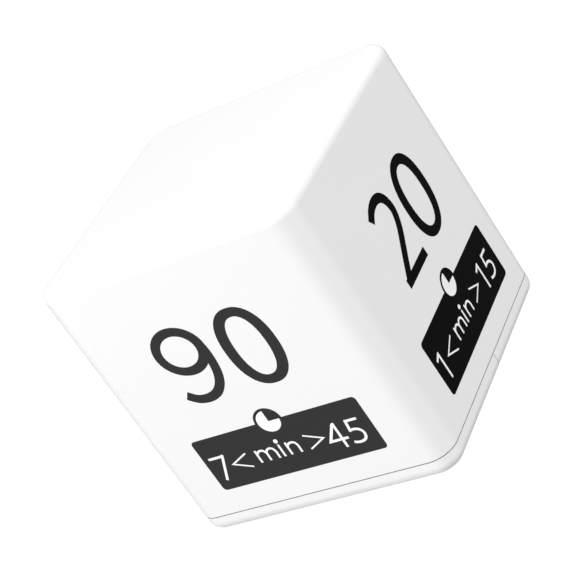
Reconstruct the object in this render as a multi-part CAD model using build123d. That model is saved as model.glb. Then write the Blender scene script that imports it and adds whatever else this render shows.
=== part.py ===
from build123d import *
import math
import os

os.makedirs("parts", exist_ok=True)

# Cube timer that counts down the number lying uppermost.
# +Z is the face marked 90, +X the face marked 20, +Y the blank closed end of the
# housing and -Y the cover with the display. The origin is the middle of the
# footprint, on the table. All lengths are in millimetres.

# Whole object
depth = 63.5  # cover face to blank end
edge_radius = 4.9  # the four long edges
end_radius = 2.4  # round the blank end
rim_radius = 2.4  # round the cover face
overrun = 1.0  # how far a cut runs past what it cuts

# Housing
wall = 2.0  # four number walls and the blank end
side_room = 3.35  # battery tray's ends to the number walls
tower_spacing = 22.0  # between the two screw towers
tower_diameter = 6.0
tower_web = 1.2
tower_free = 5.0  # length of tower in front of its web
end_rib_height = 1.6
end_rib_width = 1.2
end_rib_spacing = 20.0

# Front cover
cover_depth = 4.0  # cover face to seam
cover_wall = 2.2
seam_gap = 0.2  # the line between cover and housing
rim_wall = 1.8
parting_gap = 0.16
lip_clearance = 0.15  # locating lip inside the housing
lip_wall = 1.2
lip_reach = 3.0  # lip beyond the seam
flange_wall = 1.5
shelf_rise = 1.0  # cross bar above the parting line
bead_height = 0.4  # snap beads on the lip
bead_width = 0.8
bead_length = 8.0
bead_spacing = 28.0
bead_offset = 1.6  # seam to bead
bead_play = 0.1

# Cells, size AAA
cell_diameter = 10.5
cell_length = 44.5  # with the button
button_diameter = 3.8
button_height = 1.0
cell_edge = 0.5
cell_gap = 0.5  # between the two cells

# Battery tray, in the lower half of the front cover
tray_wall = 1.2
tray_play = 0.25  # round each cell
tray_lift = 2.9  # above the lower number wall
tray_drop = 1.2  # tray top below the parting line
cell_set_back = 0.6  # cells behind the door's seat
cradle_width = 1.2
cradle_spacing = 19.0
cradle_set_back = 1.5  # behind the cells' middle
contact_sheet = 0.4
contact_bite = 0.5  # edge of a contact held in its groove
contact_play = 0.05
contact_set_back = 1.6
dome_height = 0.6
dome_diameter = 5.0
tab_width = 2.0
tab_reach = 2.0
divider_length = 1.6
divider_width = 1.6

# Contact springs
spring_length = 3.0  # pressed in by its cell
spring_wire = 0.5
spring_base_radius = 3.5
spring_tip_radius = 1.9
spring_turns = 3
spring_seat = 0.02
gap_point_count = 24  # points per turn where the gap between turns is measured

# Battery door
door_seat_gap = 0.2
door_rib_height = 0.55
door_rib_width = 1.0
door_rib_spacing = 20.0
hook_edge = 0.65  # inside the locating lip
hook_width = 4.0
hook_wall = 1.2
hook_gap = 0.2  # behind the cover's panel
hook_rise = 1.4  # above the parting line
hook_root = 1.4
hook_notch_side = 0.4
hook_notch_drop = 3.9
latch_width = 12.0
latch_length = 8.0
latch_slit = 0.6
latch_ridge = 0.2
latch_bump = 0.1
latch_ridge_width = 0.6
latch_bump_gap = 0.15
nail_width = 8.0
nail_depth = 1.0
grip_count = 4
grip_width = 0.8
grip_depth = 0.5
grip_pitch = 1.8
grip_length = 9.0

# Screws
cover_screw_diameter = 2.0
cover_screw_length = 8.0
cover_screw_head = 3.6
cover_screw_head_height = 1.3
board_screw_diameter = 1.7
board_screw_length = 6.0
board_screw_head = 3.2
board_screw_head_height = 1.1
screw_play = 0.02  # formed thread
screw_clearance = 0.15
recess_width = 0.45
recess_depth_share = 0.6
recess_span_share = 0.6

# Circuit board
post_height = 6.2
post_diameter = 4.0
post_inset = 5.1  # post centre inside the number face
board_thickness = 1.2
board_clearance = 0.5
board_corner = 3.0
board_drop_clear = 1.2  # board's lower edge above the parting line

# Display
frame_clearance = 0.3
frame_wall = 0.9
glass_play = 0.1
glass_thickness = 0.7
film_thickness = 0.2
film_margin = 0.4
display_set_back = 0.1
ledge = 1.8  # strip of glass that carries the contacts
strip_width = 1.5
strip_play = 0.1
lens_thickness = 1.1
lens_set_back = 0.1
lens_margin = 1.8
lens_corner = 1.6
lens_play = 0.1
window_corner = 0.8

# Slide controls
control_room = 8.45  # parting line to the display's holder
control_spacing = 27.0
thumb_length = 4.2
thumb_height = 3.4
thumb_play = 0.2
thumb_set_back = 0.3
thumb_groove = 0.4
thumb_groove_pitch = 1.1
flange_overlap = 0.8
knob_flange = 0.8
knob_gap = 0.1
socket_length = 3.4
socket_height = 3.0
socket_depth = 1.7
selector_travel = 2.0  # each way from the middle
sound_travel = 1.0
stem_side = 1.7
stem_reach = 1.6
stem_play = 0.05
slider_height = 2.4
slider_thickness = 0.9
slider_overlap = 0.8
slider_play = 0.1
switch_height = 3.8
switch_depth = 3.4
switch_sheet = 0.4
switch_end = 1.6

# Buzzer
buzzer_height = 4.0
buzzer_inset = 0.25  # sounder inside the collar's outline
buzzer_wall = 0.6
port_diameter = 2.0
coil_diameter = 4.6
coil_height = 1.6
core_diameter = 2.0
diaphragm_thickness = 0.2
diaphragm_gap = 0.3
collar_margin = 0.45  # collar narrower than the controls' room
collar_wall = 0.8
collar_height = 1.8
sound_hole = 1.1
sound_hole_circle = 4.6
sound_hole_count = 6

# Tilt switches
tilt_spacing = 26.0
tilt_rise = 13.5  # above the middle of the cube
tilt_diameter = 5.2
tilt_length = 10.0
tilt_wall = 0.5
plug_length = 2.5
ball_diameter = 3.9
ball_play = 0.15
tilt_seat = 0.05
lead_diameter = 0.5
lead_spacing = 2.4
lead_reach = 1.5
lead_bend = 0.75
lead_hole_play = 0.15
lead_trim = 0.1  # lead ends inside the board's front

# Parts on the back of the board
blob_diameter = 10.0
blob_height = 1.4
crystal_diameter = 2.0
crystal_length = 6.0
crystal_rise = 9.0  # above the tilt switches
capacitor_diameter = 4.0
capacitor_height = 5.4
capacitor_offset = 5.4  # inside the screw posts
chip_length = 1.6
chip_width = 0.8
chip_height = 0.5
chip_pitch = 3.0
chip_count = 6
chip_drop = 7.5  # below the tilt switches

# Wires between the tray and the board
wire_diameter = 1.0
wire_rise = 2.4  # above the board's lower edge
positive_wire_x = 20.0
negative_wire_x = 16.0
positive_wire_bow = 4.0
negative_wire_bow = 6.0
wire_arc_share = 0.45  # arc's tangent as a share of the shorter run

# Planes and places worked out from the sizes above
tray_inner_length = cell_length + spring_length + dome_height + 2 * contact_sheet
tray_inner_half = tray_inner_length / 2
tray_half = tray_inner_half + tray_wall
half_width = tray_half + side_room + wall
width = 2 * half_width  # across two opposite number faces, in X and in Z
mid_z = half_width
face_y = -depth / 2
end_y = depth / 2
seam_y = face_y + cover_depth
seat_y = face_y + cover_wall
rim_back_y = seam_y - seam_gap / 2
lip_inset = wall + lip_clearance
door_wall = cover_wall - door_seat_gap

tray_bottom_z = wall + tray_lift
tray_inner_bottom_z = tray_bottom_z + tray_wall
lower_cell_z = tray_inner_bottom_z + tray_play + cell_diameter / 2
upper_cell_z = lower_cell_z + cell_diameter + cell_gap
between_cells_z = (upper_cell_z + lower_cell_z) / 2
tray_inner_top_z = upper_cell_z + cell_diameter / 2 + tray_play
tray_top_z = tray_inner_top_z + tray_wall
parting_z = tray_top_z + tray_drop  # just below the middle of the cover
cell_y = seat_y + cell_set_back + cell_diameter / 2
tray_floor_y = cell_y + cell_diameter / 2 + tray_play
tray_back_y = tray_floor_y + tray_wall

board_y = seat_y + post_height
board_back_y = board_y + board_thickness
board_half = half_width - wall - board_clearance
board_bottom_z = parting_z + board_drop_clear
board_top_z = width - wall - board_clearance
post_x = half_width - post_inset

frame_top_z = width - lip_inset - lip_wall - frame_clearance
frame_bottom_z = parting_z + control_room
post_low_z = frame_bottom_z + post_diameter / 2  # beside the display, over the controls
post_high_z = width - post_inset
post_places = [(side * post_x, z) for side in (-1, 1) for z in (post_low_z, post_high_z)]
frame_height = frame_top_z - frame_bottom_z
display_z = (frame_top_z + frame_bottom_z) / 2
frame_length = 2 * (post_x - post_diameter / 2 - frame_clearance)
glass_length = frame_length - 2 * (frame_wall + glass_play)
glass_height = frame_height - 2 * (frame_wall + glass_play)
rear_glass_height = glass_height - 2 * (strip_width + 2 * strip_play)
window_length = glass_length - 2 * ledge
window_height = glass_height - 2 * ledge
front_glass_y = seat_y + display_set_back + film_thickness
rear_glass_y = front_glass_y + glass_thickness
rear_film_y = rear_glass_y + glass_thickness
frame_floor_y = rear_film_y + film_thickness

control_z = (parting_z + frame_bottom_z) / 2
selector_x = -control_spacing / 2
sound_x = control_spacing / 2
sound_rest_x = sound_x - sound_travel
flange_y = seat_y + knob_gap
flange_back_y = flange_y + knob_flange
socket_back_y = flange_back_y + socket_depth
switch_y = board_y - switch_depth
collar_diameter = control_room - collar_margin
buzzer_diameter = collar_diameter - 2 * buzzer_inset
hook_x = half_width - lip_inset - lip_wall - hook_edge - hook_width / 2

tilt_z = mid_z + tilt_rise
tilt_y = board_back_y + tilt_seat + tilt_diameter / 2


def block(low, high):
    """Box between two corners."""
    size = [b - a for a, b in zip(low, high)]
    middle = [(a + b) / 2 for a, b in zip(low, high)]
    return Pos(*middle) * Box(*size)


def slab(profile, front_y, back_y):
    """Profile drawn in X and Z, made solid between two depths."""
    plane = Plane(origin=(0, back_y, 0), x_dir=(1, 0, 0), z_dir=(0, -1, 0))
    return extrude(plane * profile, back_y - front_y)


def disc(diameter, x, z, front_y, back_y):
    """Round bar along Y between two depths."""
    return slab(Pos(x, z) * Circle(diameter / 2), front_y, back_y)


def plate(length, height, x, z, front_y, back_y):
    """Rectangular plate across Y, centred on x and z."""
    return slab(Pos(x, z) * Rectangle(length, height), front_y, back_y)


def rounded_plate(length, height, corner, x, z, front_y, back_y):
    """Plate across Y with rounded corners."""
    profile = RectangleRounded(length, height, corner)
    return slab(Pos(x, z) * profile, front_y, back_y)


def cube_section(inset):
    """Section of the cube across Y, drawn in by an inset."""
    side = width - 2 * inset
    return Pos(0, mid_z) * RectangleRounded(side, side, edge_radius - inset)


def lip_bead(side, top, growth):
    """Snap bead on the top or bottom of the locating lip."""
    x = side * bead_spacing / 2
    reach = bead_length / 2 + growth
    outer = lip_inset - bead_height - growth
    inner = lip_inset + lip_wall / 2
    low, high = (width - inner, width - outer) if top else (outer, inner)
    front = seam_y + bead_offset - growth
    back = seam_y + bead_offset + bead_width + growth
    return block((x - reach, front, low), (x + reach, back, high))


def lip_beads(growth):
    """The four snap beads, grown by a play for their grooves."""
    return [lip_bead(side, top, growth) for side in (-1, 1) for top in (False, True)]


def make_housing():
    """Five walls in one moulding, with screw towers from the blank end."""
    body = slab(cube_section(0), seam_y + seam_gap / 2, end_y)
    body = fillet(body.faces().sort_by(Axis.Y)[-1].edges(), end_radius)
    body -= slab(cube_section(wall), seam_y - overrun, end_y - wall)
    inside_y = end_y - wall
    rib_y = inside_y - end_rib_height
    for side in (-1, 1):
        x = side * end_rib_spacing
        rib = (x - end_rib_width / 2, x + end_rib_width / 2)
        body += block((rib[0], rib_y, wall), (rib[1], inside_y, width - wall))
        z = mid_z + side * end_rib_spacing
        rib = (z - end_rib_width / 2, z + end_rib_width / 2)
        body += block((wall - half_width, rib_y, rib[0]), (half_width - wall, inside_y, rib[1]))
    for side in (-1, 1):
        x = side * tower_spacing / 2
        body += disc(tower_diameter, x, between_cells_z, tray_back_y, inside_y)
        web_y = tray_back_y + tower_free
        body += block(
            (x - tower_web / 2, web_y, wall / 2),
            (x + tower_web / 2, inside_y, between_cells_z),
        )
        hole = cover_screw_diameter + 2 * screw_play
        body -= disc(hole, x, between_cells_z, tray_back_y - overrun, tray_floor_y + cover_screw_length)
    for groove in lip_beads(bead_play):
        body -= groove
    return body


def cover_shell(panel_wall):
    """Whole cover before it is split: a shallow rounded tray."""
    shell = slab(cube_section(0), face_y, rim_back_y)
    shell = fillet(shell.faces().sort_by(Axis.Y)[0].edges(), rim_radius)
    return shell - slab(cube_section(rim_wall), face_y + panel_wall, seam_y)


def half_space(low_z, high_z):
    """Everything between two heights."""
    reach = width
    return block((-reach, face_y - reach, low_z), (reach, end_y + reach, high_z))


def contact_pocket(x_low, x_high, z_low, z_high):
    """Groove that a contact plate slides into from the front."""
    grow = contact_play
    return block(
        (x_low - grow, seat_y - overrun, z_low - grow),
        (x_high + grow, tray_floor_y + grow, z_high + grow),
    )


def tab_pocket(x_low, x_high, cell_z):
    """Slot in the tray's floor for a contact's solder tab."""
    grow = contact_play
    reach = tab_width / 2 + grow
    return block(
        (x_low - grow, tray_floor_y - overrun, cell_z - reach),
        (x_high + grow, tray_back_y + overrun, cell_z + reach),
    )


def make_tray():
    """Battery tray with cradles, divider and grooves for the contacts."""
    tray = block((-tray_half, seat_y, tray_bottom_z), (tray_half, tray_back_y, tray_top_z))
    tray -= block(
        (-tray_inner_half, seat_y - overrun, tray_inner_bottom_z),
        (tray_inner_half, tray_floor_y, tray_inner_top_z),
    )
    for step in (-1, 0, 1):
        x = step * cradle_spacing
        tray += block(
            (x - cradle_width / 2, cell_y + cradle_set_back, tray_inner_bottom_z),
            (x + cradle_width / 2, tray_floor_y, tray_inner_top_z),
        )
    for z in (upper_cell_z, lower_cell_z):
        room = Cylinder(cell_diameter / 2 + tray_play, tray_inner_length)
        tray -= Pos(0, cell_y, z) * Rot(0, 90, 0) * room
    return tray + block(
        (tray_inner_half - divider_length, seat_y + contact_set_back, between_cells_z - divider_width / 2),
        (tray_inner_half, tray_floor_y, between_cells_z + divider_width / 2),
    )


def contact_plates():
    """Low x, high x, low z and high z of each contact plate."""
    left = (-tray_inner_half, contact_sheet - tray_inner_half)
    right = (tray_inner_half - contact_sheet, tray_inner_half)
    link = (*left, tray_inner_bottom_z - contact_bite, tray_inner_top_z + contact_bite)
    inner_edge = divider_width / 2 - contact_bite
    positive = (*right, between_cells_z + inner_edge, tray_inner_top_z + contact_bite)
    negative = (*right, tray_inner_bottom_z - contact_bite, between_cells_z - inner_edge)
    return {"link": link, "positive": positive, "negative": negative}


def hook_notch(side):
    """Room in the cross bar for one hook of the door, over its whole swing."""
    x = side * hook_x
    reach = hook_width / 2 + hook_notch_side
    depth_room = hook_gap + hook_wall + hook_rise
    return block(
        (x - reach, seat_y - overrun, parting_z - hook_notch_drop),
        (x + reach, seat_y + depth_room, parting_z + hook_rise + hook_notch_side),
    )


def make_cover_frame():
    """Locating lip, flange, cross bar and battery tray behind the cover's panel."""
    inner_section = lip_inset + lip_wall
    frame = slab(cube_section(lip_inset), seat_y, seam_y + lip_reach)
    frame -= slab(cube_section(inner_section), seat_y - overrun, seam_y + lip_reach + overrun)
    flange = slab(cube_section(lip_inset), seat_y, seat_y + flange_wall)
    flange &= half_space(0, parting_z + shelf_rise)
    flange -= block(
        (-tray_inner_half, seat_y - overrun, tray_inner_bottom_z),
        (tray_inner_half, tray_floor_y, tray_inner_top_z),
    )
    frame += flange
    frame += make_tray()
    for name, (x_low, x_high, z_low, z_high) in contact_plates().items():
        frame -= contact_pocket(x_low, x_high, z_low, z_high)
        if name == "positive":
            frame -= tab_pocket(x_low, x_high, upper_cell_z)
        if name == "negative":
            frame -= tab_pocket(x_low, x_high, lower_cell_z)
    for side in (-1, 1):
        frame -= hook_notch(side)
        x = side * tower_spacing / 2
        hole = cover_screw_diameter + 2 * screw_clearance
        frame -= disc(hole, x, between_cells_z, seat_y, tray_back_y + overrun)
    for bead in lip_beads(0):
        frame += bead
    frame += block(
        (-latch_width / 2, seat_y, lip_inset - latch_ridge),
        (latch_width / 2, seat_y + latch_ridge_width, lip_inset + lip_wall / 2),
    )
    return frame


def thumb_slot(x, travel):
    """Slot in the panel for one thumb piece and its travel."""
    length = thumb_length + 2 * (travel + thumb_play)
    height = thumb_height + 2 * thumb_play
    return rounded_plate(
        length, height, thumb_play * 2, x, control_z, face_y - overrun, seat_y + overrun
    )


def make_front_cover():
    """Upper panel of the cover, with all that is moulded behind it."""
    panel = cover_shell(cover_wall) & half_space(parting_z + parting_gap / 2, width)
    cover = panel + make_cover_frame()
    collar = disc(collar_diameter, 0, control_z, seat_y, seat_y + collar_height)
    collar -= disc(collar_diameter - 2 * collar_wall, 0, control_z, seat_y, seat_y + collar_height)
    cover += collar
    for x, z in post_places:
        cover += disc(post_diameter, x, z, seat_y, board_y)
    for x, z in post_places:
        hole = board_screw_diameter + 2 * screw_play
        end = board_back_y - board_screw_length
        cover -= disc(hole, x, z, end - screw_clearance, board_y + overrun)
    cover -= rounded_plate(
        window_length, window_height, window_corner, 0, display_z, face_y - overrun, seat_y + overrun
    )
    grow = 2 * (lens_margin + lens_play)
    lens_floor_y = face_y + lens_set_back + lens_thickness
    cover -= rounded_plate(
        window_length + grow, window_height + grow, lens_corner, 0, display_z,
        face_y - overrun, lens_floor_y,
    )
    cover -= thumb_slot(selector_x, selector_travel)
    cover -= thumb_slot(sound_x, sound_travel)
    holes = [(0, 0)]
    for step in range(sound_hole_count):
        angle = 2 * math.pi * step / sound_hole_count
        radius = sound_hole_circle / 2
        holes.append((radius * math.cos(angle), radius * math.sin(angle)))
    for x, rise in holes:
        cover -= disc(sound_hole, x, control_z + rise, face_y - overrun, seat_y + overrun)
    return cover


def make_hook(side):
    """L-shaped hook that lies behind the panel's lower edge."""
    back_y = seat_y + hook_gap + hook_wall
    root_low = parting_z - parting_gap / 2 - hook_root - hook_wall / 2
    root_high = parting_z - parting_gap / 2 - hook_wall / 2
    outline = Polyline(
        (face_y + door_wall / 2, root_low),
        (back_y - hook_wall / 2, root_low),
        (back_y, root_low + hook_wall / 2),
        (back_y, parting_z + hook_rise),
        (back_y - hook_wall, parting_z + hook_rise),
        (back_y - hook_wall, root_high),
        (face_y + door_wall / 2, root_high),
        close=True,
    )
    plane = Plane(origin=(side * hook_x, 0, 0), x_dir=(0, 1, 0), z_dir=(1, 0, 0))
    return extrude(plane * make_face(outline), hook_width / 2, both=True)


def make_battery_door():
    """Lower half of the cover: a lid that tilts out on two hooks."""
    door = cover_shell(door_wall) & half_space(0, parting_z - parting_gap / 2)
    for side in (-1, 1):
        door += make_hook(side)
        x = side * door_rib_spacing / 2
        door += block(
            (x - door_rib_width / 2, face_y + door_wall / 2, lower_cell_z),
            (x + door_rib_width / 2, face_y + door_wall + door_rib_height, upper_cell_z),
        )
        slit_x = side * (latch_width / 2 + latch_slit / 2)
        door -= block(
            (slit_x - latch_slit / 2, face_y - overrun, -overrun),
            (slit_x + latch_slit / 2, seam_y + overrun, latch_length),
        )
    bump_y = seat_y + latch_ridge_width + latch_bump_gap
    door += block(
        (-latch_width / 2, bump_y, rim_wall / 2),
        (latch_width / 2, bump_y + latch_ridge_width, rim_wall + latch_bump),
    )
    door -= block(
        (-nail_width / 2, rim_back_y - nail_depth, -overrun),
        (nail_width / 2, seam_y, rim_wall / 2),
    )
    for step in range(grip_count):
        z = rim_radius + grip_width + step * grip_pitch
        groove = Pos(0, z) * SlotOverall(grip_length, grip_width)
        door -= slab(groove, face_y - overrun, face_y + grip_depth)
    return door


def make_lens():
    """Clear window, let into the panel."""
    front = face_y + lens_set_back
    grow = 2 * lens_margin
    return rounded_plate(
        window_length + grow, window_height + grow, lens_corner - lens_play, 0, display_z,
        front, front + lens_thickness,
    )


def strip_z(side):
    """Height of the middle of one contact strip."""
    return display_z + side * (glass_height / 2 - strip_play - strip_width / 2)


def make_display_frame():
    """Holder that keeps glass and contact strips against the board."""
    holder = plate(frame_length, frame_height, 0, display_z, seat_y, board_y)
    grow = 2 * glass_play
    holder -= plate(
        glass_length + grow, glass_height + grow, 0, display_z, seat_y - overrun, rear_glass_y
    )
    holder -= plate(
        glass_length + grow, rear_glass_height + grow, 0, display_z,
        seat_y - overrun, frame_floor_y,
    )
    holder -= plate(
        window_length, rear_glass_height - 2 * frame_wall, 0, display_z,
        seat_y - overrun, board_y + overrun,
    )
    for side in (-1, 1):
        holder -= plate(
            window_length + 2 * strip_play, strip_width + 2 * strip_play, 0, strip_z(side),
            seat_y - overrun, board_y + overrun,
        )
    return holder


def make_contact_strips():
    """Two rubber strips from the glass's ledges to the board."""
    return [
        plate(window_length, strip_width, 0, strip_z(side), rear_glass_y, board_y)
        for side in (-1, 1)
    ]


def make_knob(x, travel):
    """Thumb piece with its flange and the socket for the switch's stem."""
    front = face_y + thumb_set_back
    knob = rounded_plate(
        thumb_length, thumb_height, thumb_play, x, control_z, front, flange_back_y
    )
    slot_length = thumb_length + 2 * (travel + thumb_play)
    slot_height = thumb_height + 2 * thumb_play
    knob += plate(
        slot_length + 2 * (travel + flange_overlap), slot_height + 2 * flange_overlap,
        x, control_z, flange_y, flange_back_y,
    )
    knob += plate(socket_length, socket_height, x, control_z, flange_y, socket_back_y)
    hole = stem_side + 2 * stem_play
    stem_front_y = switch_y - stem_reach - stem_play
    knob -= plate(hole, hole, x, control_z, stem_front_y, socket_back_y + overrun)
    for step in (-1, 0, 1):
        groove_x = x + step * thumb_groove_pitch
        knob -= plate(
            thumb_groove, thumb_height + overrun, groove_x, control_z,
            front - overrun, front + thumb_groove,
        )
    return knob


def switch_length(travel):
    """Outer length of a slide switch."""
    return stem_side + 2 * (2 * travel + slider_overlap + switch_end)


def make_switch_case(x, travel):
    """Folded case of a slide switch, open towards the board."""
    length = switch_length(travel)
    case = plate(length, switch_height, x, control_z, switch_y, board_y)
    case -= plate(
        length - 2 * switch_sheet, switch_height - 2 * switch_sheet, x, control_z,
        switch_y + switch_sheet, board_y + overrun,
    )
    slot_length = stem_side + 2 * (travel + slider_play)
    slot_height = stem_side + 2 * slider_play
    case -= plate(
        slot_length, slot_height, x, control_z, switch_y - overrun, switch_y + switch_sheet * 2
    )
    return case


def make_switch_slider(x, travel):
    """Stem of a slide switch and the slide that runs inside its case."""
    inside_y = switch_y + switch_sheet + slider_play
    stem = plate(stem_side, stem_side, x, control_z, switch_y - stem_reach, inside_y)
    length = stem_side + 2 * (travel + slider_overlap)
    slide = plate(
        length, slider_height, x, control_z, inside_y, inside_y + slider_thickness
    )
    return stem + slide


def make_switch_base(x, travel):
    """Insulating base that closes a slide switch, under its slide."""
    inset = 2 * (switch_sheet + slider_play)
    front = switch_y + switch_sheet + 2 * slider_play + slider_thickness
    return plate(
        switch_length(travel) - inset, switch_height - inset, x, control_z, front, board_y
    )


def make_buzzer_case():
    """Round sounder case with its port towards the sound holes."""
    front = board_y - buzzer_height
    case = disc(buzzer_diameter, 0, control_z, front, board_y)
    inner = buzzer_diameter - 2 * buzzer_wall
    case -= disc(inner, 0, control_z, front + buzzer_wall, board_y + overrun)
    return case - disc(port_diameter, 0, control_z, front - overrun, board_y)


def make_buzzer_diaphragm():
    """Thin steel disc, seated round its edge inside the sounder."""
    front = board_y - buzzer_height + buzzer_wall
    inner = buzzer_diameter - 2 * buzzer_wall - 2 * screw_play
    return disc(inner, 0, control_z, front, front + diaphragm_thickness)


def make_buzzer_coil():
    """Coil on its core, standing on the board inside the sounder."""
    coil = disc(coil_diameter, 0, control_z, board_y - coil_height, board_y)
    diaphragm_back = board_y - buzzer_height + buzzer_wall + diaphragm_thickness
    return coil + disc(core_diameter, 0, control_z, diaphragm_back + diaphragm_gap, board_y)


def tilt_plane(side):
    """Plane at the lower end of a tilt switch, its normal up the tube."""
    slope = math.sqrt(0.5)
    reach = tilt_length / 2 * slope
    origin = (side * (tilt_spacing / 2 - reach), tilt_y, tilt_z - reach)
    return Plane(origin=origin, x_dir=(0, 1, 0), z_dir=(side * slope, 0, slope))


def tube_along(plane, diameter, low, high):
    """Round bar along a plane's normal, between two heights above it."""
    return extrude(plane.offset(low) * Circle(diameter / 2), high - low)


def make_tilt_can(side):
    """Metal tube of a tilt switch, closed at its upper end."""
    plane = tilt_plane(side)
    bore = tilt_diameter - 2 * tilt_wall
    can = tube_along(plane, tilt_diameter, 0, tilt_length)
    return can - tube_along(plane, bore, -overrun, tilt_length - tilt_wall)


def make_tilt_plug(side):
    """Insulating plug with two lead holes, in the lower end of the tube."""
    bore = tilt_diameter - 2 * tilt_wall - 2 * screw_play
    plane = tilt_plane(side)
    plug = tube_along(plane, bore, 0, plug_length)
    hole = lead_diameter + 2 * screw_play
    for turn in (-1, 1):
        hole_plane = Plane(plane * Pos(0, turn * lead_spacing / 2))
        plug -= tube_along(hole_plane, hole, -overrun, plug_length + overrun)
    return plug


def lead_point(side, turn, height):
    """Point on one lead of a tilt switch, at a height up its tube."""
    return tilt_plane(side).from_local_coords(Vector(0, turn * lead_spacing / 2, height))


def make_tilt_leads(side):
    """Two bent leads from the plug into the board."""
    leads = []
    for turn in (-1, 1):
        start = lead_point(side, turn, plug_length)
        corner = lead_point(side, turn, -lead_reach)
        end = Vector(corner.X, board_y + lead_trim, corner.Z)
        path = FilletPolyline(start, corner, end, radius=lead_bend)
        section = Plane(origin=start, z_dir=corner - start) * Circle(lead_diameter / 2)
        leads.append(sweep(section, path=path))
    return leads


def make_ball(side):
    """Steel ball at the lower end of its tube."""
    plane = tilt_plane(side)
    centre = plane.origin + plane.z_dir * (plug_length + ball_play + ball_diameter / 2)
    return Pos(*centre) * Sphere(ball_diameter / 2)


def make_board():
    """Circuit board with its screw holes and lead holes."""
    length = 2 * board_half
    height = board_top_z - board_bottom_z
    z = (board_top_z + board_bottom_z) / 2
    board = rounded_plate(length, height, board_corner, 0, z, board_y, board_back_y)
    for x, z in post_places:
        hole = board_screw_diameter + 2 * screw_clearance
        board -= disc(hole, x, z, board_y - overrun, board_back_y + overrun)
    for side in (-1, 1):
        for turn in (-1, 1):
            corner = lead_point(side, turn, -lead_reach)
            hole = lead_diameter + 2 * lead_hole_play
            board -= disc(hole, corner.X, corner.Z, board_y - overrun, board_back_y + overrun)
    return board


def make_blob():
    """Drop of resin over the controller."""
    radius = blob_diameter / 2
    arc = ThreePointArc((-radius, 0), (0, blob_height), (radius, 0))
    section = make_face(arc + Line((radius, 0), (-radius, 0)))
    half = section & Pos(radius / 2, blob_height / 2) * Rectangle(radius, blob_height)
    dome = revolve(half, Axis.Y)
    return Pos(0, board_back_y, tilt_z) * dome


def make_crystal():
    """Watch crystal lying on the board."""
    y = board_back_y + crystal_diameter / 2
    can = Cylinder(crystal_diameter / 2, crystal_length)
    return Pos(0, y, tilt_z + crystal_rise) * Rot(0, 90, 0) * can


def make_capacitor():
    """Upright can capacitor."""
    z = tilt_z + crystal_rise
    x = post_x - capacitor_offset
    return disc(capacitor_diameter, x, z, board_back_y, board_back_y + capacitor_height)


def make_chips():
    """Row of chip resistors and capacitors."""
    chips = []
    z = tilt_z - chip_drop
    back = board_back_y + chip_height
    for step in range(chip_count):
        x = (step - (chip_count - 1) / 2) * chip_pitch
        chips.append(plate(chip_width, chip_length, x, z, board_back_y, back))
    return chips


def make_contact(name, dome_z, tab_z):
    """Sheet-metal contact plate, with a dome for the button and a solder tab."""
    x_low, x_high, z_low, z_high = contact_plates()[name]
    contact = block((x_low, seat_y + contact_set_back, z_low), (x_high, tray_floor_y, z_high))
    if dome_z is not None:
        inward = 1 if x_low < 0 else -1
        face = x_high if x_low < 0 else x_low
        radius = dome_diameter / 2
        cone = Cone(radius, radius / 2, dome_height)
        place = Pos(face + inward * dome_height / 2, cell_y, dome_z)
        contact += place * Rot(0, inward * 90, 0) * cone
    if tab_z is not None:
        contact += block(
            (x_low, tray_floor_y - contact_set_back, tab_z - tab_width / 2),
            (x_high, tray_back_y + tab_reach, tab_z + tab_width / 2),
        )
    return contact


def biarc(start, start_way, end, end_way):
    """Two arcs that join two points smoothly."""
    chord = end - start
    ways = start_way + end_way
    square = 2 * (1 - start_way.dot(end_way))
    along = chord.dot(ways)
    reach = (math.sqrt(along * along + square * chord.dot(chord)) - along) / square
    knot = (start + start_way * reach + end - end_way * reach) * 0.5
    first = TangentArc(start, knot, tangent=start_way)
    second = TangentArc(end, knot, tangent=-end_way)
    return [first, second]


def coil_point(share, x_low, x_high, z):
    """Point on a conical spring's centre line, at a share of its length."""
    radius = spring_base_radius + (spring_tip_radius - spring_base_radius) * share
    angle = 2 * math.pi * spring_turns * share
    x = x_low + (x_high - x_low) * share
    return Vector(x, cell_y + radius * math.cos(angle), z + radius * math.sin(angle))


def coil_way(share, x_low, x_high):
    """Direction of a conical spring's centre line at the same share."""
    growth = spring_tip_radius - spring_base_radius
    radius = spring_base_radius + growth * share
    rate = 2 * math.pi * spring_turns
    angle = rate * share
    y = growth * math.cos(angle) - radius * rate * math.sin(angle)
    rise = growth * math.sin(angle) + radius * rate * math.cos(angle)
    return Vector(x_high - x_low, y, rise).normalized()


def coil_gap(x_low, x_high, z):
    """Least gap between a spring's turns, from points half a turn or more apart."""
    count = spring_turns * gap_point_count
    points = [coil_point(step / count, x_low, x_high, z) for step in range(count + 1)]
    apart = gap_point_count // 2
    pairs = [(a, b) for i, a in enumerate(points) for b in points[i + apart :]]
    return min((a - b).length for a, b in pairs) - spring_wire


def make_spring(plate_x, cell_x, z):
    """Conical contact spring between its plate and the cell, on biarcs of a quarter turn."""
    inward = 1 if cell_x > plate_x else -1
    offset = inward * (spring_wire / 2 + spring_seat)
    low, high = plate_x + offset, cell_x - offset
    shares = [step / (4 * spring_turns) for step in range(4 * spring_turns + 1)]
    places = [coil_point(share, low, high, z) for share in shares]
    ways = [coil_way(share, low, high) for share in shares]
    arcs = []
    for start, start_way, end, end_way in zip(places, ways, places[1:], ways[1:]):
        arcs += biarc(start, start_way, end, end_way)
    section = Plane(origin=places[0], z_dir=ways[0]) * Circle(spring_wire / 2)
    print("least gap between a spring's turns, mm:", round(coil_gap(low, high, z), 2))
    return sweep(section, path=Wire(arcs))


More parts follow.
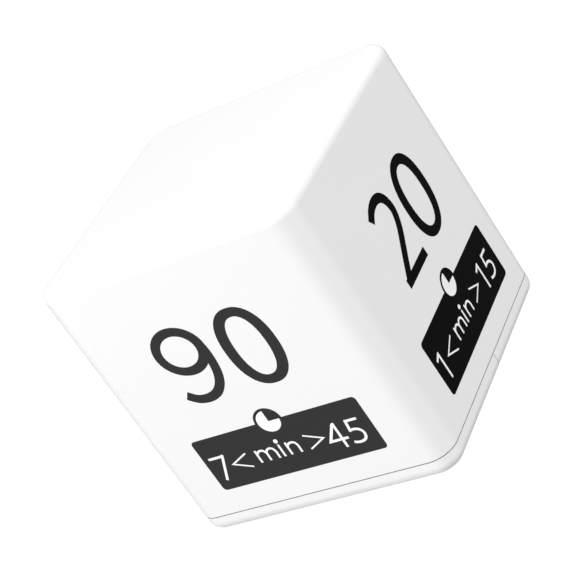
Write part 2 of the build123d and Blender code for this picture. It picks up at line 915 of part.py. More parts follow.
def make_cell(z, button_side):
    """AAA cell, its button towards one end of the tray."""
    radius = cell_diameter / 2
    can_length = cell_length - button_height
    can = Cylinder(radius, can_length)
    can = chamfer(can.edges(), cell_edge)
    button = Pos(0, 0, can_length / 2 + button_height / 2) * Cylinder(button_diameter / 2, button_height)
    cell = Pos(0, 0, -button_height / 2) * (can + button)
    shift = button_side * (spring_length - dome_height) / 2
    return Pos(shift, cell_y, z) * Rot(0, button_side * 90, 0) * cell


def make_screw(x, z, head_y, way, diameter, length, head, head_height):
    """Pan-head screw with a cross recess; way is +1 where it points to +Y."""
    top_y = head_y - way * head_height
    low, high = sorted((top_y, head_y))
    screw = disc(head, x, z, low, high)
    low, high = sorted((head_y, head_y + way * length))
    screw += disc(diameter, x, z, low, high)
    low, high = sorted((top_y - way * overrun, top_y + way * head_height * recess_depth_share))
    span = head * recess_span_share
    screw -= plate(span, recess_width, x, z, low, high)
    screw -= plate(recess_width, span, x, z, low, high)
    return screw


def make_cover_screws():
    """Two screws in the tray's floor, into the housing's towers."""
    sizes = (cover_screw_diameter, cover_screw_length, cover_screw_head, cover_screw_head_height)
    return [
        make_screw(side * tower_spacing / 2, between_cells_z, tray_floor_y, 1, *sizes)
        for side in (-1, 1)
    ]


def make_board_screws():
    """Four screws that hold the board on the cover's posts."""
    sizes = (board_screw_diameter, board_screw_length, board_screw_head, board_screw_head_height)
    return [make_screw(x, z, board_back_y, -1, *sizes) for x, z in post_places]


def make_wire(tab_x, tab_z, bow, board_x):
    """Insulated wire from a solder tab, over the tray, to the board."""
    start_y = tray_back_y + tab_reach
    board_z = board_bottom_z + wire_rise
    points = [
        Vector(tab_x, start_y, tab_z),
        Vector(tab_x, start_y + bow, tab_z),
        Vector(board_x, start_y + bow, board_z),
        Vector(board_x, board_back_y, board_z),
    ]
    radii = []
    for before, corner, after in zip(points, points[1:], points[2:]):
        turn = (corner - before).get_angle(after - corner)
        shorter = min((corner - before).length, (after - corner).length)
        radii.append(wire_arc_share * shorter / math.tan(math.radians(turn / 2)))
    path = FilletPolyline(*points, radius=radii)
    section = Plane(origin=points[0], z_dir=(0, 1, 0)) * Circle(wire_diameter / 2)
    return sweep(section, path=path)


def save(name, shape):
    """Write one node, one or several solids, to its own file."""
    pieces = shape if isinstance(shape, list) else [shape]
    solids = [solid for piece in pieces for solid in piece.solids()]
    result = solids[0] if len(solids) == 1 else Compound(children=solids)
    export_step(result, f"parts/{name}.step")


def build():
    """Make every piece of the timer."""
    save("housing", make_housing())
    save("front_cover", make_front_cover())
    save("battery_door", make_battery_door())
    save("cover_screws", make_cover_screws())

    save("display_lens", make_lens())
    film_length = window_length + 2 * film_margin
    film_height = window_height + 2 * film_margin
    front_film_y = seat_y + display_set_back
    for name, length, height, front_y, thickness in (
        ("front_film", film_length, film_height, front_film_y, film_thickness),
        ("front_glass", glass_length, glass_height, front_glass_y, glass_thickness),
        ("rear_glass", glass_length, rear_glass_height, rear_glass_y, glass_thickness),
        ("reflector", film_length, rear_glass_height, rear_film_y, film_thickness),
    ):
        save(f"display_{name}", plate(length, height, 0, display_z, front_y, front_y + thickness))
    save("display_frame", make_display_frame())
    save("display_contact_strips", make_contact_strips())

    save("circuit_board", make_board())
    save("board_screws", make_board_screws())
    save("controller_blob", make_blob())
    save("watch_crystal", make_crystal())
    save("can_capacitor", make_capacitor())
    save("chip_parts", make_chips())

    save("buzzer_case", make_buzzer_case())
    save("buzzer_diaphragm", make_buzzer_diaphragm())
    save("buzzer_coil", make_buzzer_coil())

    for name, middle_x, rest_x, travel in (
        ("selector", selector_x, selector_x, selector_travel),
        ("sound", sound_x, sound_rest_x, sound_travel),
    ):
        save(f"{name}_knob", make_knob(rest_x, travel))
        save(f"{name}_switch_slider", make_switch_slider(rest_x, travel))
        save(f"{name}_switch_case", make_switch_case(middle_x, travel))
        save(f"{name}_switch_base", make_switch_base(middle_x, travel))

    for name, side in (("left", -1), ("right", 1)):
        save(f"{name}_tilt_can", make_tilt_can(side))
        save(f"{name}_tilt_plug", make_tilt_plug(side))
        save(f"{name}_tilt_leads", make_tilt_leads(side))
        save(f"{name}_tilt_ball", make_ball(side))

    plates = contact_plates()
    save("link_contact", make_contact("link", lower_cell_z, None))
    save("positive_contact", make_contact("positive", upper_cell_z, upper_cell_z))
    save("negative_contact", make_contact("negative", None, lower_cell_z))
    save("link_spring", make_spring(plates["link"][1], plates["link"][1] + spring_length, upper_cell_z))
    negative_x = plates["negative"][0]
    save("negative_spring", make_spring(negative_x, negative_x - spring_length, lower_cell_z))
    save("upper_cell", make_cell(upper_cell_z, 1))
    save("lower_cell", make_cell(lower_cell_z, -1))
    tab_x = (plates["positive"][0] + plates["positive"][1]) / 2
    save("positive_wire", make_wire(tab_x, upper_cell_z, positive_wire_bow, positive_wire_x))
    save("negative_wire", make_wire(tab_x, lower_cell_z, negative_wire_bow, negative_wire_x))


build()
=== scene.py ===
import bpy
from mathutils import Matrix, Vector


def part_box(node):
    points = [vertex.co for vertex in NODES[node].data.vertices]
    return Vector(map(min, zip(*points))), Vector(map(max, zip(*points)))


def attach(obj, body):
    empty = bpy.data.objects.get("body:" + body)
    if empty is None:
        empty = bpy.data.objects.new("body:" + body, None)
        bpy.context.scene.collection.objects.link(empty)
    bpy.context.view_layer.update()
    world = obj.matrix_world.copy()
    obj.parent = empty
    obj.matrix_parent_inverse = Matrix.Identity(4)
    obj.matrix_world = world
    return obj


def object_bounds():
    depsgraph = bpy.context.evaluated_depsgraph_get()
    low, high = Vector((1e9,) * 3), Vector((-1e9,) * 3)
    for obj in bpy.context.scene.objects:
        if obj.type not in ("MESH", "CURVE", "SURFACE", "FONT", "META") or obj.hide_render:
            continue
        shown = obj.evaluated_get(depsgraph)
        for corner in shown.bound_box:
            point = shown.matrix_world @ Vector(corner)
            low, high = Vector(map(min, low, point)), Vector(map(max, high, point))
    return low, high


bl_info = {
    "name": "Cube timer",
    "version": (1, 0, 0),
    "blender": (4, 5, 0),
    "location": "3D View > Sidebar > Cube timer",
    "description": "Finishes, prints, display, light and camera for a cube timer",
    "category": "Object",
}

import math

import bmesh
import bpy
from mathutils import Matrix, Vector

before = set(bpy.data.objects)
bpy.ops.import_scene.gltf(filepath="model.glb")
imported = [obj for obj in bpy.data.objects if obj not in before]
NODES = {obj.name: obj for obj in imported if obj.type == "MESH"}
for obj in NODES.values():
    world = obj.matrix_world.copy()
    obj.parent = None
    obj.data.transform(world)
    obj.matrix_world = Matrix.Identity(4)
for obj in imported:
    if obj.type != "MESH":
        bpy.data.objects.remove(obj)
CAD_BOX = [list(corner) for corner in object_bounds()]

MM = 0.001

# Middle of the gap between housing and cover, and of the gap above the door, under its hooks.
HOOK_RISE = 1.4 * MM
SEAM_Y = (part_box("housing")[0].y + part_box("battery_door")[1].y) / 2
PARTING_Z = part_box("battery_door")[1].z - HOOK_RISE
# How far the painted shade reaches from there: onto both walls of each gap, and in from the outer
# skin.
SEAM_REACH = 0.11 * MM
PARTING_REACH = 0.09 * MM
SHADE_DEPTH = 0.35 * MM
EDGE_RADIUS = 4.9 * MM


# Colours and nodes


def rgba(hex_colour, share=1.0):
    """Turn an sRGB hex colour into linear values with full alpha, times a share."""
    channels = [int(hex_colour[i : i + 2], 16) / 255 for i in (1, 3, 5)]
    linear = [c / 12.92 if c <= 0.04045 else ((c + 0.055) / 1.055) ** 2.4 for c in channels]
    return (*[min(1.0, c * share) for c in linear], 1.0)


def add_node(tree, kind, inputs=None, **settings):
    """Add a node with its settings, and give each named input a value or a link."""
    node = tree.nodes.new(kind)
    for name, value in settings.items():
        setattr(node, name, value)
    for name, value in (inputs or {}).items():
        socket = node.inputs[name]
        if isinstance(value, bpy.types.NodeSocket):
            tree.links.new(value, socket)
        else:
            socket.default_value = value
    return node


def new_material(name):
    """A new node material, its tree, and the object coordinates that its patterns follow."""
    material = bpy.data.materials.new(name)
    material.use_nodes = True
    tree = material.node_tree
    tree.nodes.clear()
    return material, tree, add_node(tree, "ShaderNodeTexCoord").outputs["Object"]


def set_stops(ramp, stops):
    """Write positions and colours into a colour ramp."""
    elements = ramp.color_ramp.elements
    while len(elements) < len(stops):
        elements.new(1.0)
    for element, (position, colour) in zip(elements, stops):
        element.position = position
        element.color = colour


def dress(material, *names):
    """Give a material to CAD nodes by name, in place of what they came with."""
    for name in names:
        mesh = NODES[name].data
        mesh.materials.clear()
        mesh.materials.append(material)


# Finishes


def moulded_abs(name, hex_colour, seam_shade_hex, roughness):
    """ABS, injection moulded in a spark-eroded tool: even, matt-satin, with a grain that only
    softens the highlights along the rounded edges, and painted shade on the walls of the seams."""
    material, tree, place = new_material(name)
    # Tool grain about 0.35 mm wide.
    grain = add_node(tree, "ShaderNodeTexNoise", {
        "Vector": place, "Scale": 1 / (0.35 * MM), "Detail": 3.0, "Roughness": 0.6,
    })
    # Cloudy tone where the melt front slowed, about 18 mm across and hardly visible.
    cloud = add_node(tree, "ShaderNodeTexNoise", {
        "Vector": place, "Scale": 1 / (18 * MM), "Detail": 1.0,
    })
    tone = add_node(tree, "ShaderNodeValToRGB", {"Fac": cloud.outputs["Fac"]})
    set_stops(tone, [(0.3, rgba(hex_colour, 0.992)), (0.7, rgba(hex_colour))])
    # Painted shade: the colour turns darker on the walls of the seams, where shade falls.
    seam_shaded = add_node(tree, "ShaderNodeMix", {
        "Factor": painted_shade_in_gaps(tree, place), "A": tone.outputs["Color"], "B": rgba(seam_shade_hex),
    }, data_type="RGBA")
    gloss = add_node(tree, "ShaderNodeMapRange", {
        "Value": grain.outputs["Fac"], "To Min": roughness - 0.03, "To Max": roughness + 0.03,
    })
    bump = add_node(tree, "ShaderNodeBump", {
        "Height": grain.outputs["Fac"], "Strength": 0.12, "Distance": 0.01 * MM,
    })
    shader = add_node(tree, "ShaderNodeBsdfPrincipled", {
        "Base Color": seam_shaded.outputs[2], "Roughness": gloss.outputs["Result"],
        "IOR": 1.53, "Normal": bump.outputs["Normal"],
    })
    add_node(tree, "ShaderNodeOutputMaterial", {"Surface": shader.outputs["BSDF"]})
    return material


def painted_shade_in_gaps(tree, place):
    """One where painted shade darkens the seams: on the walls of each gap, just under the outer
    skin.
    """
    half = CAD_BOX[1][0]
    centre_line = half - EDGE_RADIUS
    axis = add_node(tree, "ShaderNodeSeparateXYZ", {"Vector": place})
    # How far a point lies outside the centre lines of the four rounded long edges.
    value = place
    for operation, other in (
        ("SUBTRACT", (0.0, 0.0, half)), ("ABSOLUTE", (0.0, 0.0, 0.0)),
        ("SUBTRACT", (centre_line, 1.0, centre_line)), ("MAXIMUM", (0.0, 0.0, 0.0)),
    ):
        step = add_node(tree, "ShaderNodeVectorMath", {0: value, 1: other}, operation=operation)
        value = step.outputs["Vector"]
    reach = add_node(tree, "ShaderNodeVectorMath", {0: value}, operation="LENGTH")
    sums = {"y": axis.outputs["Y"], "z": axis.outputs["Z"], "reach": reach.outputs["Value"]}
    # Each step by name: what it works out, and from which values or earlier steps.
    for name, operation, *values in (
        ("seam", "COMPARE", "y", SEAM_Y, SEAM_REACH),
        ("level", "COMPARE", "z", PARTING_Z, PARTING_REACH),
        ("cover", "LESS_THAN", "y", SEAM_Y),
        ("front", "LESS_THAN", "y", CAD_BOX[0][1] + SHADE_DEPTH),
        ("skin", "GREATER_THAN", "reach", EDGE_RADIUS - SHADE_DEPTH),
        ("open_side", "MAXIMUM", "skin", "front"),
        ("around", "MULTIPLY", "seam", "skin"),
        ("across", "MULTIPLY", "level", "cover"),
        ("parting", "MULTIPLY", "across", "open_side"),
        ("gap", "MAXIMUM", "around", "parting"),
    ):
        inputs = {i: sums.get(value, value) for i, value in enumerate(values)}
        step = add_node(tree, "ShaderNodeMath", inputs, operation=operation)
        sums[name] = step.outputs["Value"]
    return sums["gap"]


def screen_ink(name, hex_colour):
    """Two-part ink, silk-screened: dense and matt, with the faint weave of the screen."""
    material, tree, place = new_material(name)
    # Screen threads every 0.12 mm, drawn at 0.24 mm so that they can show.
    size = add_node(tree, "ShaderNodeVectorMath", {
        0: place, 1: (1 / (0.24 * MM),) * 3,
    }, operation="MULTIPLY")
    weave = add_node(tree, "ShaderNodeTexVoronoi", {
        "Vector": size.outputs["Vector"], "Scale": 1.0, "Randomness": 0.15,
    })
    tone = add_node(tree, "ShaderNodeValToRGB", {"Fac": weave.outputs["Distance"]})
    set_stops(tone, [(0.0, rgba(hex_colour)), (1.0, rgba(hex_colour, 1.06))])
    bump = add_node(tree, "ShaderNodeBump", {
        "Height": weave.outputs["Distance"], "Strength": 0.1, "Distance": 0.005 * MM,
    })
    shader = add_node(tree, "ShaderNodeBsdfPrincipled", {
        "Base Color": tone.outputs["Color"], "Roughness": 0.6, "IOR": 1.5,
        "Specular IOR Level": 0.03, "Normal": bump.outputs["Normal"],
    })
    add_node(tree, "ShaderNodeOutputMaterial", {"Surface": shader.outputs["BSDF"]})
    return material


def plain_plastic(name, hex_colour, roughness, grain_mm, specular=0.5):
    """Moulded or cast plastic, resin or rubber: a grain of a real size breaks up the gloss."""
    material, tree, place = new_material(name)
    grain = add_node(tree, "ShaderNodeTexNoise", {
        "Vector": place, "Scale": 1 / (grain_mm * MM), "Detail": 2.0,
    })
    tone = add_node(tree, "ShaderNodeValToRGB", {"Fac": grain.outputs["Fac"]})
    set_stops(tone, [(0.35, rgba(hex_colour, 0.9)), (0.65, rgba(hex_colour))])
    bump = add_node(tree, "ShaderNodeBump", {
        "Height": grain.outputs["Fac"], "Strength": 0.25, "Distance": 0.01 * MM,
    })
    shader = add_node(tree, "ShaderNodeBsdfPrincipled", {
        "Base Color": tone.outputs["Color"], "Roughness": roughness, "IOR": 1.5,
        "Specular IOR Level": specular, "Normal": bump.outputs["Normal"],
    })
    add_node(tree, "ShaderNodeOutputMaterial", {"Surface": shader.outputs["BSDF"]})
    return material


def worked_metal(name, hex_colour, roughness, stretch, mark_mm):
    """Sheet, wire or turned metal: fine marks vary its tone, gloss and relief, squeezed along
    one axis where the metal is rolled, drawn or folded."""
    material, tree, place = new_material(name)
    size = add_node(tree, "ShaderNodeVectorMath", {
        0: place, 1: [s / (mark_mm * MM) for s in stretch],
    }, operation="MULTIPLY")
    marks = add_node(tree, "ShaderNodeTexNoise", {
        "Vector": size.outputs["Vector"], "Scale": 1.0, "Detail": 4.0,
    })
    gloss = add_node(tree, "ShaderNodeMapRange", {
        "Value": marks.outputs["Fac"], "To Min": roughness * 0.75, "To Max": roughness * 1.25,
    })
    tone = add_node(tree, "ShaderNodeValToRGB", {"Fac": marks.outputs["Fac"]})
    set_stops(tone, [(0.3, rgba(hex_colour, 0.88)), (0.7, rgba(hex_colour))])
    bump = add_node(tree, "ShaderNodeBump", {
        "Height": marks.outputs["Fac"], "Strength": 0.15, "Distance": 0.004 * MM,
    })
    shader = add_node(tree, "ShaderNodeBsdfPrincipled", {
        "Base Color": tone.outputs["Color"], "Metallic": 1.0,
        "Roughness": gloss.outputs["Result"], "Normal": bump.outputs["Normal"],
    })
    add_node(tree, "ShaderNodeOutputMaterial", {"Surface": shader.outputs["BSDF"]})
    return material


def clear_sheet(name, hex_colour, ior, roughness):
    """Clear acrylic or drawn glass: polished on both faces, seen by its edges and reflections."""
    material, tree, place = new_material(name)
    # Slow waviness of a moulded or drawn sheet, about 9 mm long.
    wave = add_node(tree, "ShaderNodeTexNoise", {
        "Vector": place, "Scale": 1 / (9 * MM), "Detail": 0.0,
    })
    bump = add_node(tree, "ShaderNodeBump", {
        "Height": wave.outputs["Fac"], "Strength": 0.05, "Distance": 0.02 * MM,
    })
    shader = add_node(tree, "ShaderNodeBsdfPrincipled", {
        "Base Color": rgba(hex_colour), "Roughness": roughness, "IOR": ior,
        "Transmission Weight": 1.0, "Normal": bump.outputs["Normal"],
    })
    add_node(tree, "ShaderNodeOutputMaterial", {"Surface": shader.outputs["BSDF"]})
    return material


def display_film(name, hex_colour):
    """Polarising film over liquid crystal: grey-green, satin, with a fine even grain."""
    material, tree, place = new_material(name)
    grain = add_node(tree, "ShaderNodeTexNoise", {
        "Vector": place, "Scale": 1 / (0.3 * MM), "Detail": 2.0,
    })
    tone = add_node(tree, "ShaderNodeValToRGB", {"Fac": grain.outputs["Fac"]})
    set_stops(tone, [(0.3, rgba(hex_colour, 0.95)), (0.7, rgba(hex_colour))])
    shader = add_node(tree, "ShaderNodeBsdfPrincipled", {
        "Base Color": tone.outputs["Color"], "Roughness": 0.28, "IOR": 1.49,
    })
    add_node(tree, "ShaderNodeOutputMaterial", {"Surface": shader.outputs["BSDF"]})
    return material


def solder_masked_laminate(name, mask_hex, track_hex):
    """Glass-epoxy board under green solder mask: tracks stand out as slightly paler lines."""
    material, tree, place = new_material(name)
    # Tracks on a 1.27 mm pitch.
    size = add_node(tree, "ShaderNodeVectorMath", {
        0: place, 1: (1 / (1.27 * MM),) * 3,
    }, operation="MULTIPLY")
    cells = add_node(tree, "ShaderNodeTexVoronoi", {
        "Vector": size.outputs["Vector"], "Scale": 0.6, "Randomness": 0.7,
    }, feature="DISTANCE_TO_EDGE")
    line = add_node(tree, "ShaderNodeMath", {
        0: cells.outputs["Distance"], 1: 0.12,
    }, operation="LESS_THAN")
    tone = add_node(tree, "ShaderNodeMix", {
        "Factor": line.outputs["Value"], "A": rgba(mask_hex), "B": rgba(track_hex),
    }, data_type="RGBA")
    bump = add_node(tree, "ShaderNodeBump", {
        "Height": line.outputs["Value"], "Strength": 0.4, "Distance": 0.03 * MM,
    })
    shader = add_node(tree, "ShaderNodeBsdfPrincipled", {
        "Base Color": tone.outputs[2], "Roughness": 0.3, "IOR": 1.52,
        "Normal": bump.outputs["Normal"],
    })
    add_node(tree, "ShaderNodeOutputMaterial", {"Surface": shader.outputs["BSDF"]})
    return material


# A wave texture runs through this many radians per unit of its scale, so the rings come out
# six times as far apart as the turns of the wire, which are too fine to show.
WAVE_RADIANS = 20


def wound_wire(name, hex_colour, pitch_mm):
    """Enamelled copper wire, wound: close, shiny rings along the coil's axis."""
    material, tree, place = new_material(name)
    rings = add_node(tree, "ShaderNodeTexWave", {
        "Vector": place, "Scale": 1 / (pitch_mm * MM) / WAVE_RADIANS, "Distortion": 0.0,
    }, bands_direction="Y")
    tone = add_node(tree, "ShaderNodeValToRGB", {"Fac": rings.outputs["Fac"]})
    set_stops(tone, [(0.0, rgba(hex_colour, 0.45)), (1.0, rgba(hex_colour))])
    bump = add_node(tree, "ShaderNodeBump", {
        "Height": rings.outputs["Fac"], "Strength": 0.6, "Distance": 0.05 * MM,
    })
    shader = add_node(tree, "ShaderNodeBsdfPrincipled", {
        "Base Color": tone.outputs["Color"], "Metallic": 0.8, "Roughness": 0.35,
        "Normal": bump.outputs["Normal"],
    })
    add_node(tree, "ShaderNodeOutputMaterial", {"Surface": shader.outputs["BSDF"]})
    return material


def printed_sleeve(name, node, way, sleeve_hex, band_hex, can_hex):
    """Shrink sleeve of a cell: pale film with one dark band towards the button, and bare
    nickel-plated steel at both ends."""
    low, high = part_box(node)
    start, end = (low.x, high.x) if way > 0 else (high.x, low.x)
    material, tree, place = new_material(name)
    axis = add_node(tree, "ShaderNodeSeparateXYZ", {"Vector": place})
    along = add_node(tree, "ShaderNodeMapRange", {
        "Value": axis.outputs["X"], "From Min": start, "From Max": end,
    })
    tone = add_node(tree, "ShaderNodeValToRGB", {"Fac": along.outputs["Result"]})
    metal = add_node(tree, "ShaderNodeValToRGB", {"Fac": along.outputs["Result"]})
    # Shares of the cell's length: the sleeve lies between its ends, the band within it.
    sleeve_start, band_start, band_end, sleeve_end = 0.012, 0.66, 0.9, 0.955
    set_stops(tone, [
        (0.0, rgba(can_hex)), (sleeve_start, rgba(sleeve_hex)), (band_start, rgba(band_hex)),
        (band_end, rgba(sleeve_hex)), (sleeve_end, rgba(can_hex)),
    ])
    bare, covered = rgba("#FFFFFF"), rgba("#000000")
    set_stops(metal, [(0.0, bare), (sleeve_start, covered), (sleeve_end, bare)])
    for ramp in (tone, metal):
        ramp.color_ramp.interpolation = "CONSTANT"
    # Ripples of the shrunk film, about 2.5 mm apart.
    ripple = add_node(tree, "ShaderNodeTexNoise", {
        "Vector": place, "Scale": 1 / (2.5 * MM), "Detail": 1.0,
    })
    bump = add_node(tree, "ShaderNodeBump", {
        "Height": ripple.outputs["Fac"], "Strength": 0.1, "Distance": 0.04 * MM,
    })
    shader = add_node(tree, "ShaderNodeBsdfPrincipled", {
        "Base Color": tone.outputs["Color"], "Metallic": metal.outputs["Color"],
        "Roughness": 0.27, "Normal": bump.outputs["Normal"],
    })
    add_node(tree, "ShaderNodeOutputMaterial", {"Surface": shader.outputs["BSDF"]})
    return material


def seamless_paper(name, hex_colour, glow):
    """Photo studio paper, lit from all sides: pale and even, with hardly a shadow."""
    material, tree, place = new_material(name)
    # Paper tooth about 1 mm across.
    tooth = add_node(tree, "ShaderNodeTexNoise", {
        "Vector": place, "Scale": 1 / (1 * MM), "Detail": 2.0,
    })
    tone = add_node(tree, "ShaderNodeValToRGB", {"Fac": tooth.outputs["Fac"]})
    set_stops(tone, [(0.3, rgba(hex_colour, 0.99)), (0.7, rgba(hex_colour))])
    shader = add_node(tree, "ShaderNodeBsdfPrincipled", {
        "Base Color": tone.outputs["Color"], "Roughness": 0.9, "Specular IOR Level": 0.0,
        "Emission Color": (1.0, 1.0, 1.0, 1.0), "Emission Strength": glow,
    })
    add_node(tree, "ShaderNodeOutputMaterial", {"Surface": shader.outputs["BSDF"]})
    return material


# Inner plastics by group: name, colour, roughness, grain in millimetres and nodes.
PLASTICS = {
    "display": (
        ("Styrene, moulded, black", "#1B1C1D", 0.45, 0.4, ["display_frame"]),
        ("Conductive rubber", "#2B2A33", 0.75, 0.3, ["display_contact_strips"]),
    ),
    "controls": (
        ("ABS, moulded, grey", "#B9BABC", 0.4, 0.35, ["selector_knob", "sound_knob"]),
        ("Nylon, moulded, black", "#161616", 0.5, 0.3,
         ["selector_switch_slider", "sound_switch_slider"]),
        ("Phenolic laminate, punched", "#7A5230", 0.55, 0.6,
         ["selector_switch_base", "sound_switch_base"]),
    ),
    "electronics": (
        ("Epoxy resin, poured, black", "#0E0E0F", 0.22, 1.5, ["controller_blob"]),
        ("Fired ceramic", "#3A3733", 0.5, 0.2, ["chip_parts"]),
        ("Nylon, glass filled, black", "#19191A", 0.6, 0.25,
         ["buzzer_case", "left_tilt_plug", "right_tilt_plug"]),
    ),
    "battery": (
        ("PVC insulation, red", "#B3221D", 0.38, 0.8, ["positive_wire"]),
        ("PVC insulation, black", "#141414", 0.38, 0.8, ["negative_wire"]),
    ),
}
# Metals by group: name, colour, roughness, how the marks are squeezed along each axis, their
# length in millimetres and nodes.
METALS = {
    "controls": (
        ("Steel sheet, nickel plated, folded", "#C8C6C0", 0.28, (1, 1, 8), 0.5,
         ["selector_switch_case", "sound_switch_case"]),
    ),
    "electronics": (
        ("Tinned steel can, drawn", "#D2D2CE", 0.25, (6, 1, 1), 0.4, ["watch_crystal"]),
        ("Aluminium can, drawn", "#C9CBCD", 0.32, (1, 6, 1), 0.4, ["can_capacitor"]),
        ("Spring steel, rolled thin", "#B7B5AF", 0.3, (1, 1, 5), 0.3, ["buzzer_diaphragm"]),
        ("Brass, gilt, drawn", "#E2BE6B", 0.22, (1, 4, 1), 0.3,
         ["left_tilt_can", "right_tilt_can", "left_tilt_leads", "right_tilt_leads"]),
        ("Chrome steel, ground", "#D6D7D8", 0.1, (1, 1, 1), 0.8,
         ["left_tilt_ball", "right_tilt_ball"]),
        ("Screw steel, zinc plated", "#BFC3C6", 0.3, (1, 1, 1), 0.25,
         ["cover_screws", "board_screws"]),
    ),
    "battery": (
        ("Spring steel, nickel plated", "#CFCDC6", 0.2, (1, 5, 1), 0.3,
         ["link_contact", "positive_contact", "negative_contact", "link_spring",
          "negative_spring"]),
    ),
}


def dress_group(group):
    """Finish the inner plastics and metals of one group of pieces."""
    for finish, table in ((plain_plastic, PLASTICS), (worked_metal, METALS)):
        for *values, nodes in table.get(group, ()):
            dress(finish(*values), *nodes)


# Flat shapes that are printed or shown on a face


# Steps of a smooth stroke between two of its points, of a round corner and of a full turn.
SPAN_STEPS = 8
CORNER_STEPS = 8
TURN_STEPS = 64
# The sharpest corner at which a mitre still keeps the stroke's width, as a cosine.
MITRE_LIMIT = 0.35


def smooth_line(points):
    """Round the corners of a stroke by running a curve through its points."""
    last = len(points) - 1
    line = []
    for i in range(last):
        a, b, c, d = (points[min(max(j, 0), last)] for j in (i - 1, i, i + 1, i + 2))
        for step in range(SPAN_STEPS):
            t = step / SPAN_STEPS
            square = (2 * a - 5 * b + 4 * c - d) * t * t
            cube = (3 * b - a - 3 * c + d) * t ** 3
            line.append(0.5 * (2 * b + (c - a) * t + square + cube))
    line.append(points[-1])
    return line


def outward_mesh(shape, name):
    """Mesh data with its faces turned outwards."""
    bmesh.ops.recalc_face_normals(shape, faces=shape.faces)
    data = bpy.data.meshes.new(name)
    shape.to_mesh(data)
    shape.free()
    return data


def plate(outline, low, high):
    """Closed solid between two heights, over an outline."""
    shape = bmesh.new()
    floor = [shape.verts.new((*point, low)) for point in outline]
    roof = [shape.verts.new((*point, high)) for point in outline]
    shape.faces.new(roof)
    shape.faces.new(floor[::-1])
    for i in range(len(outline)):
        j = (i + 1) % len(outline)
        shape.faces.new((floor[i], floor[j], roof[j], roof[i]))
    return outward_mesh(shape, "plate")


def strip(left, right, closed, low, high):
    """Closed solid between two heights, over the band from a left to a right edge."""
    shape = bmesh.new()
    sides = [
        [shape.verts.new((*point, height)) for point in edge]
        for edge, height in ((left, low), (right, low), (right, high), (left, high))
    ]
    count = len(left)
    for i in range(count if closed else count - 1):
        j = (i + 1) % count
        for k in range(4):
            a, b = sides[k], sides[(k + 1) % 4]
            shape.faces.new((a[i], b[i], b[j], a[j]))
    if not closed:
        shape.faces.new([side[0] for side in sides][::-1])
        shape.faces.new([side[-1] for side in sides])
    return outward_mesh(shape, "strip")


def stroke(line, width, low, high):
    """Closed solid over a line drawn at an even width, mitred at its corners."""
    left, right = [], []
    for i, point in enumerate(line):
        ways = []
        if i > 0:
            ways.append((point - line[i - 1]).normalized())
        if i < len(line) - 1:
            ways.append((line[i + 1] - point).normalized())
        normals = [Vector((-way.y, way.x)) for way in ways]
        middle = sum(normals, Vector((0.0, 0.0))).normalized()
        reach = width / 2 / max(MITRE_LIMIT, middle.dot(normals[0]))
        left.append(point + middle * reach)
        right.append(point - middle * reach)
    return strip(left, right, False, low, high)


def joined(meshes):
    """One closed mesh from solids that cross, by boolean union."""
    solids = [bpy.data.objects.new("solid", data) for data in meshes]
    for solid in solids:
        bpy.context.scene.collection.objects.link(solid)
    for other in solids[1:]:
        union = solids[0].modifiers.new("union", "BOOLEAN")
        union.operation = "UNION"
        union.solver = "EXACT"
        union.object = other
    view = bpy.context.evaluated_depsgraph_get()
    data = bpy.data.meshes.new_from_object(solids[0].evaluated_get(view))
    for solid in solids:
        bpy.data.objects.remove(solid)
    return data


def rounded_outline(left, right, bottom, top, radius):
    """Outline of a rectangle with round corners."""
    points = []
    corners = ((right, top, 0), (left, top, 90), (left, bottom, 180), (right, bottom, 270))
    for x, y, turn in corners:
        middle = Vector((x - math.copysign(radius, x - (left + right) / 2),
                         y - math.copysign(radius, y - (bottom + top) / 2)))
        for step in range(CORNER_STEPS + 1):
            angle = math.radians(turn + step * 90 / CORNER_STEPS)
            points.append(middle + radius * Vector((math.cos(angle), math.sin(angle))))
    return points


def round_outline(centre, radius, start=0.0, end=360.0, count=TURN_STEPS):
    """Outline of a disc, or of a slice of one with its point at the centre."""
    whole = end - start >= 360
    steps = count if whole else int(count * (end - start) / 360) + 1
    points = [] if whole else [Vector(centre)]
    for step in range(steps):
        angle = math.radians(start + (end - start) * step / (steps if whole else steps - 1))
        points.append(Vector(centre) + radius * Vector((math.cos(angle), math.sin(angle))))
    return points


def oval(centre, half_width, half_height, power=2.0, count=TURN_STEPS):
    """Points of an oval, squarer than an ellipse where the power is over 2."""
    points = []
    for step in range(count):
        angle = 2 * math.pi * step / count
        across, up = math.cos(angle), math.sin(angle)
        points.append((
            centre[0] + half_width * math.copysign(abs(across) ** (2 / power), across),
            centre[1] + half_height * math.copysign(abs(up) ** (2 / power), up),
        ))
    return points


def turned(strokes, width):
    """The strokes of a digit, turned upside down in its own width."""
    return [
        (kind, *[[(width - x, 1.0 - y) for x, y in line] for line in lines])
        for kind, *lines in strokes
    ]


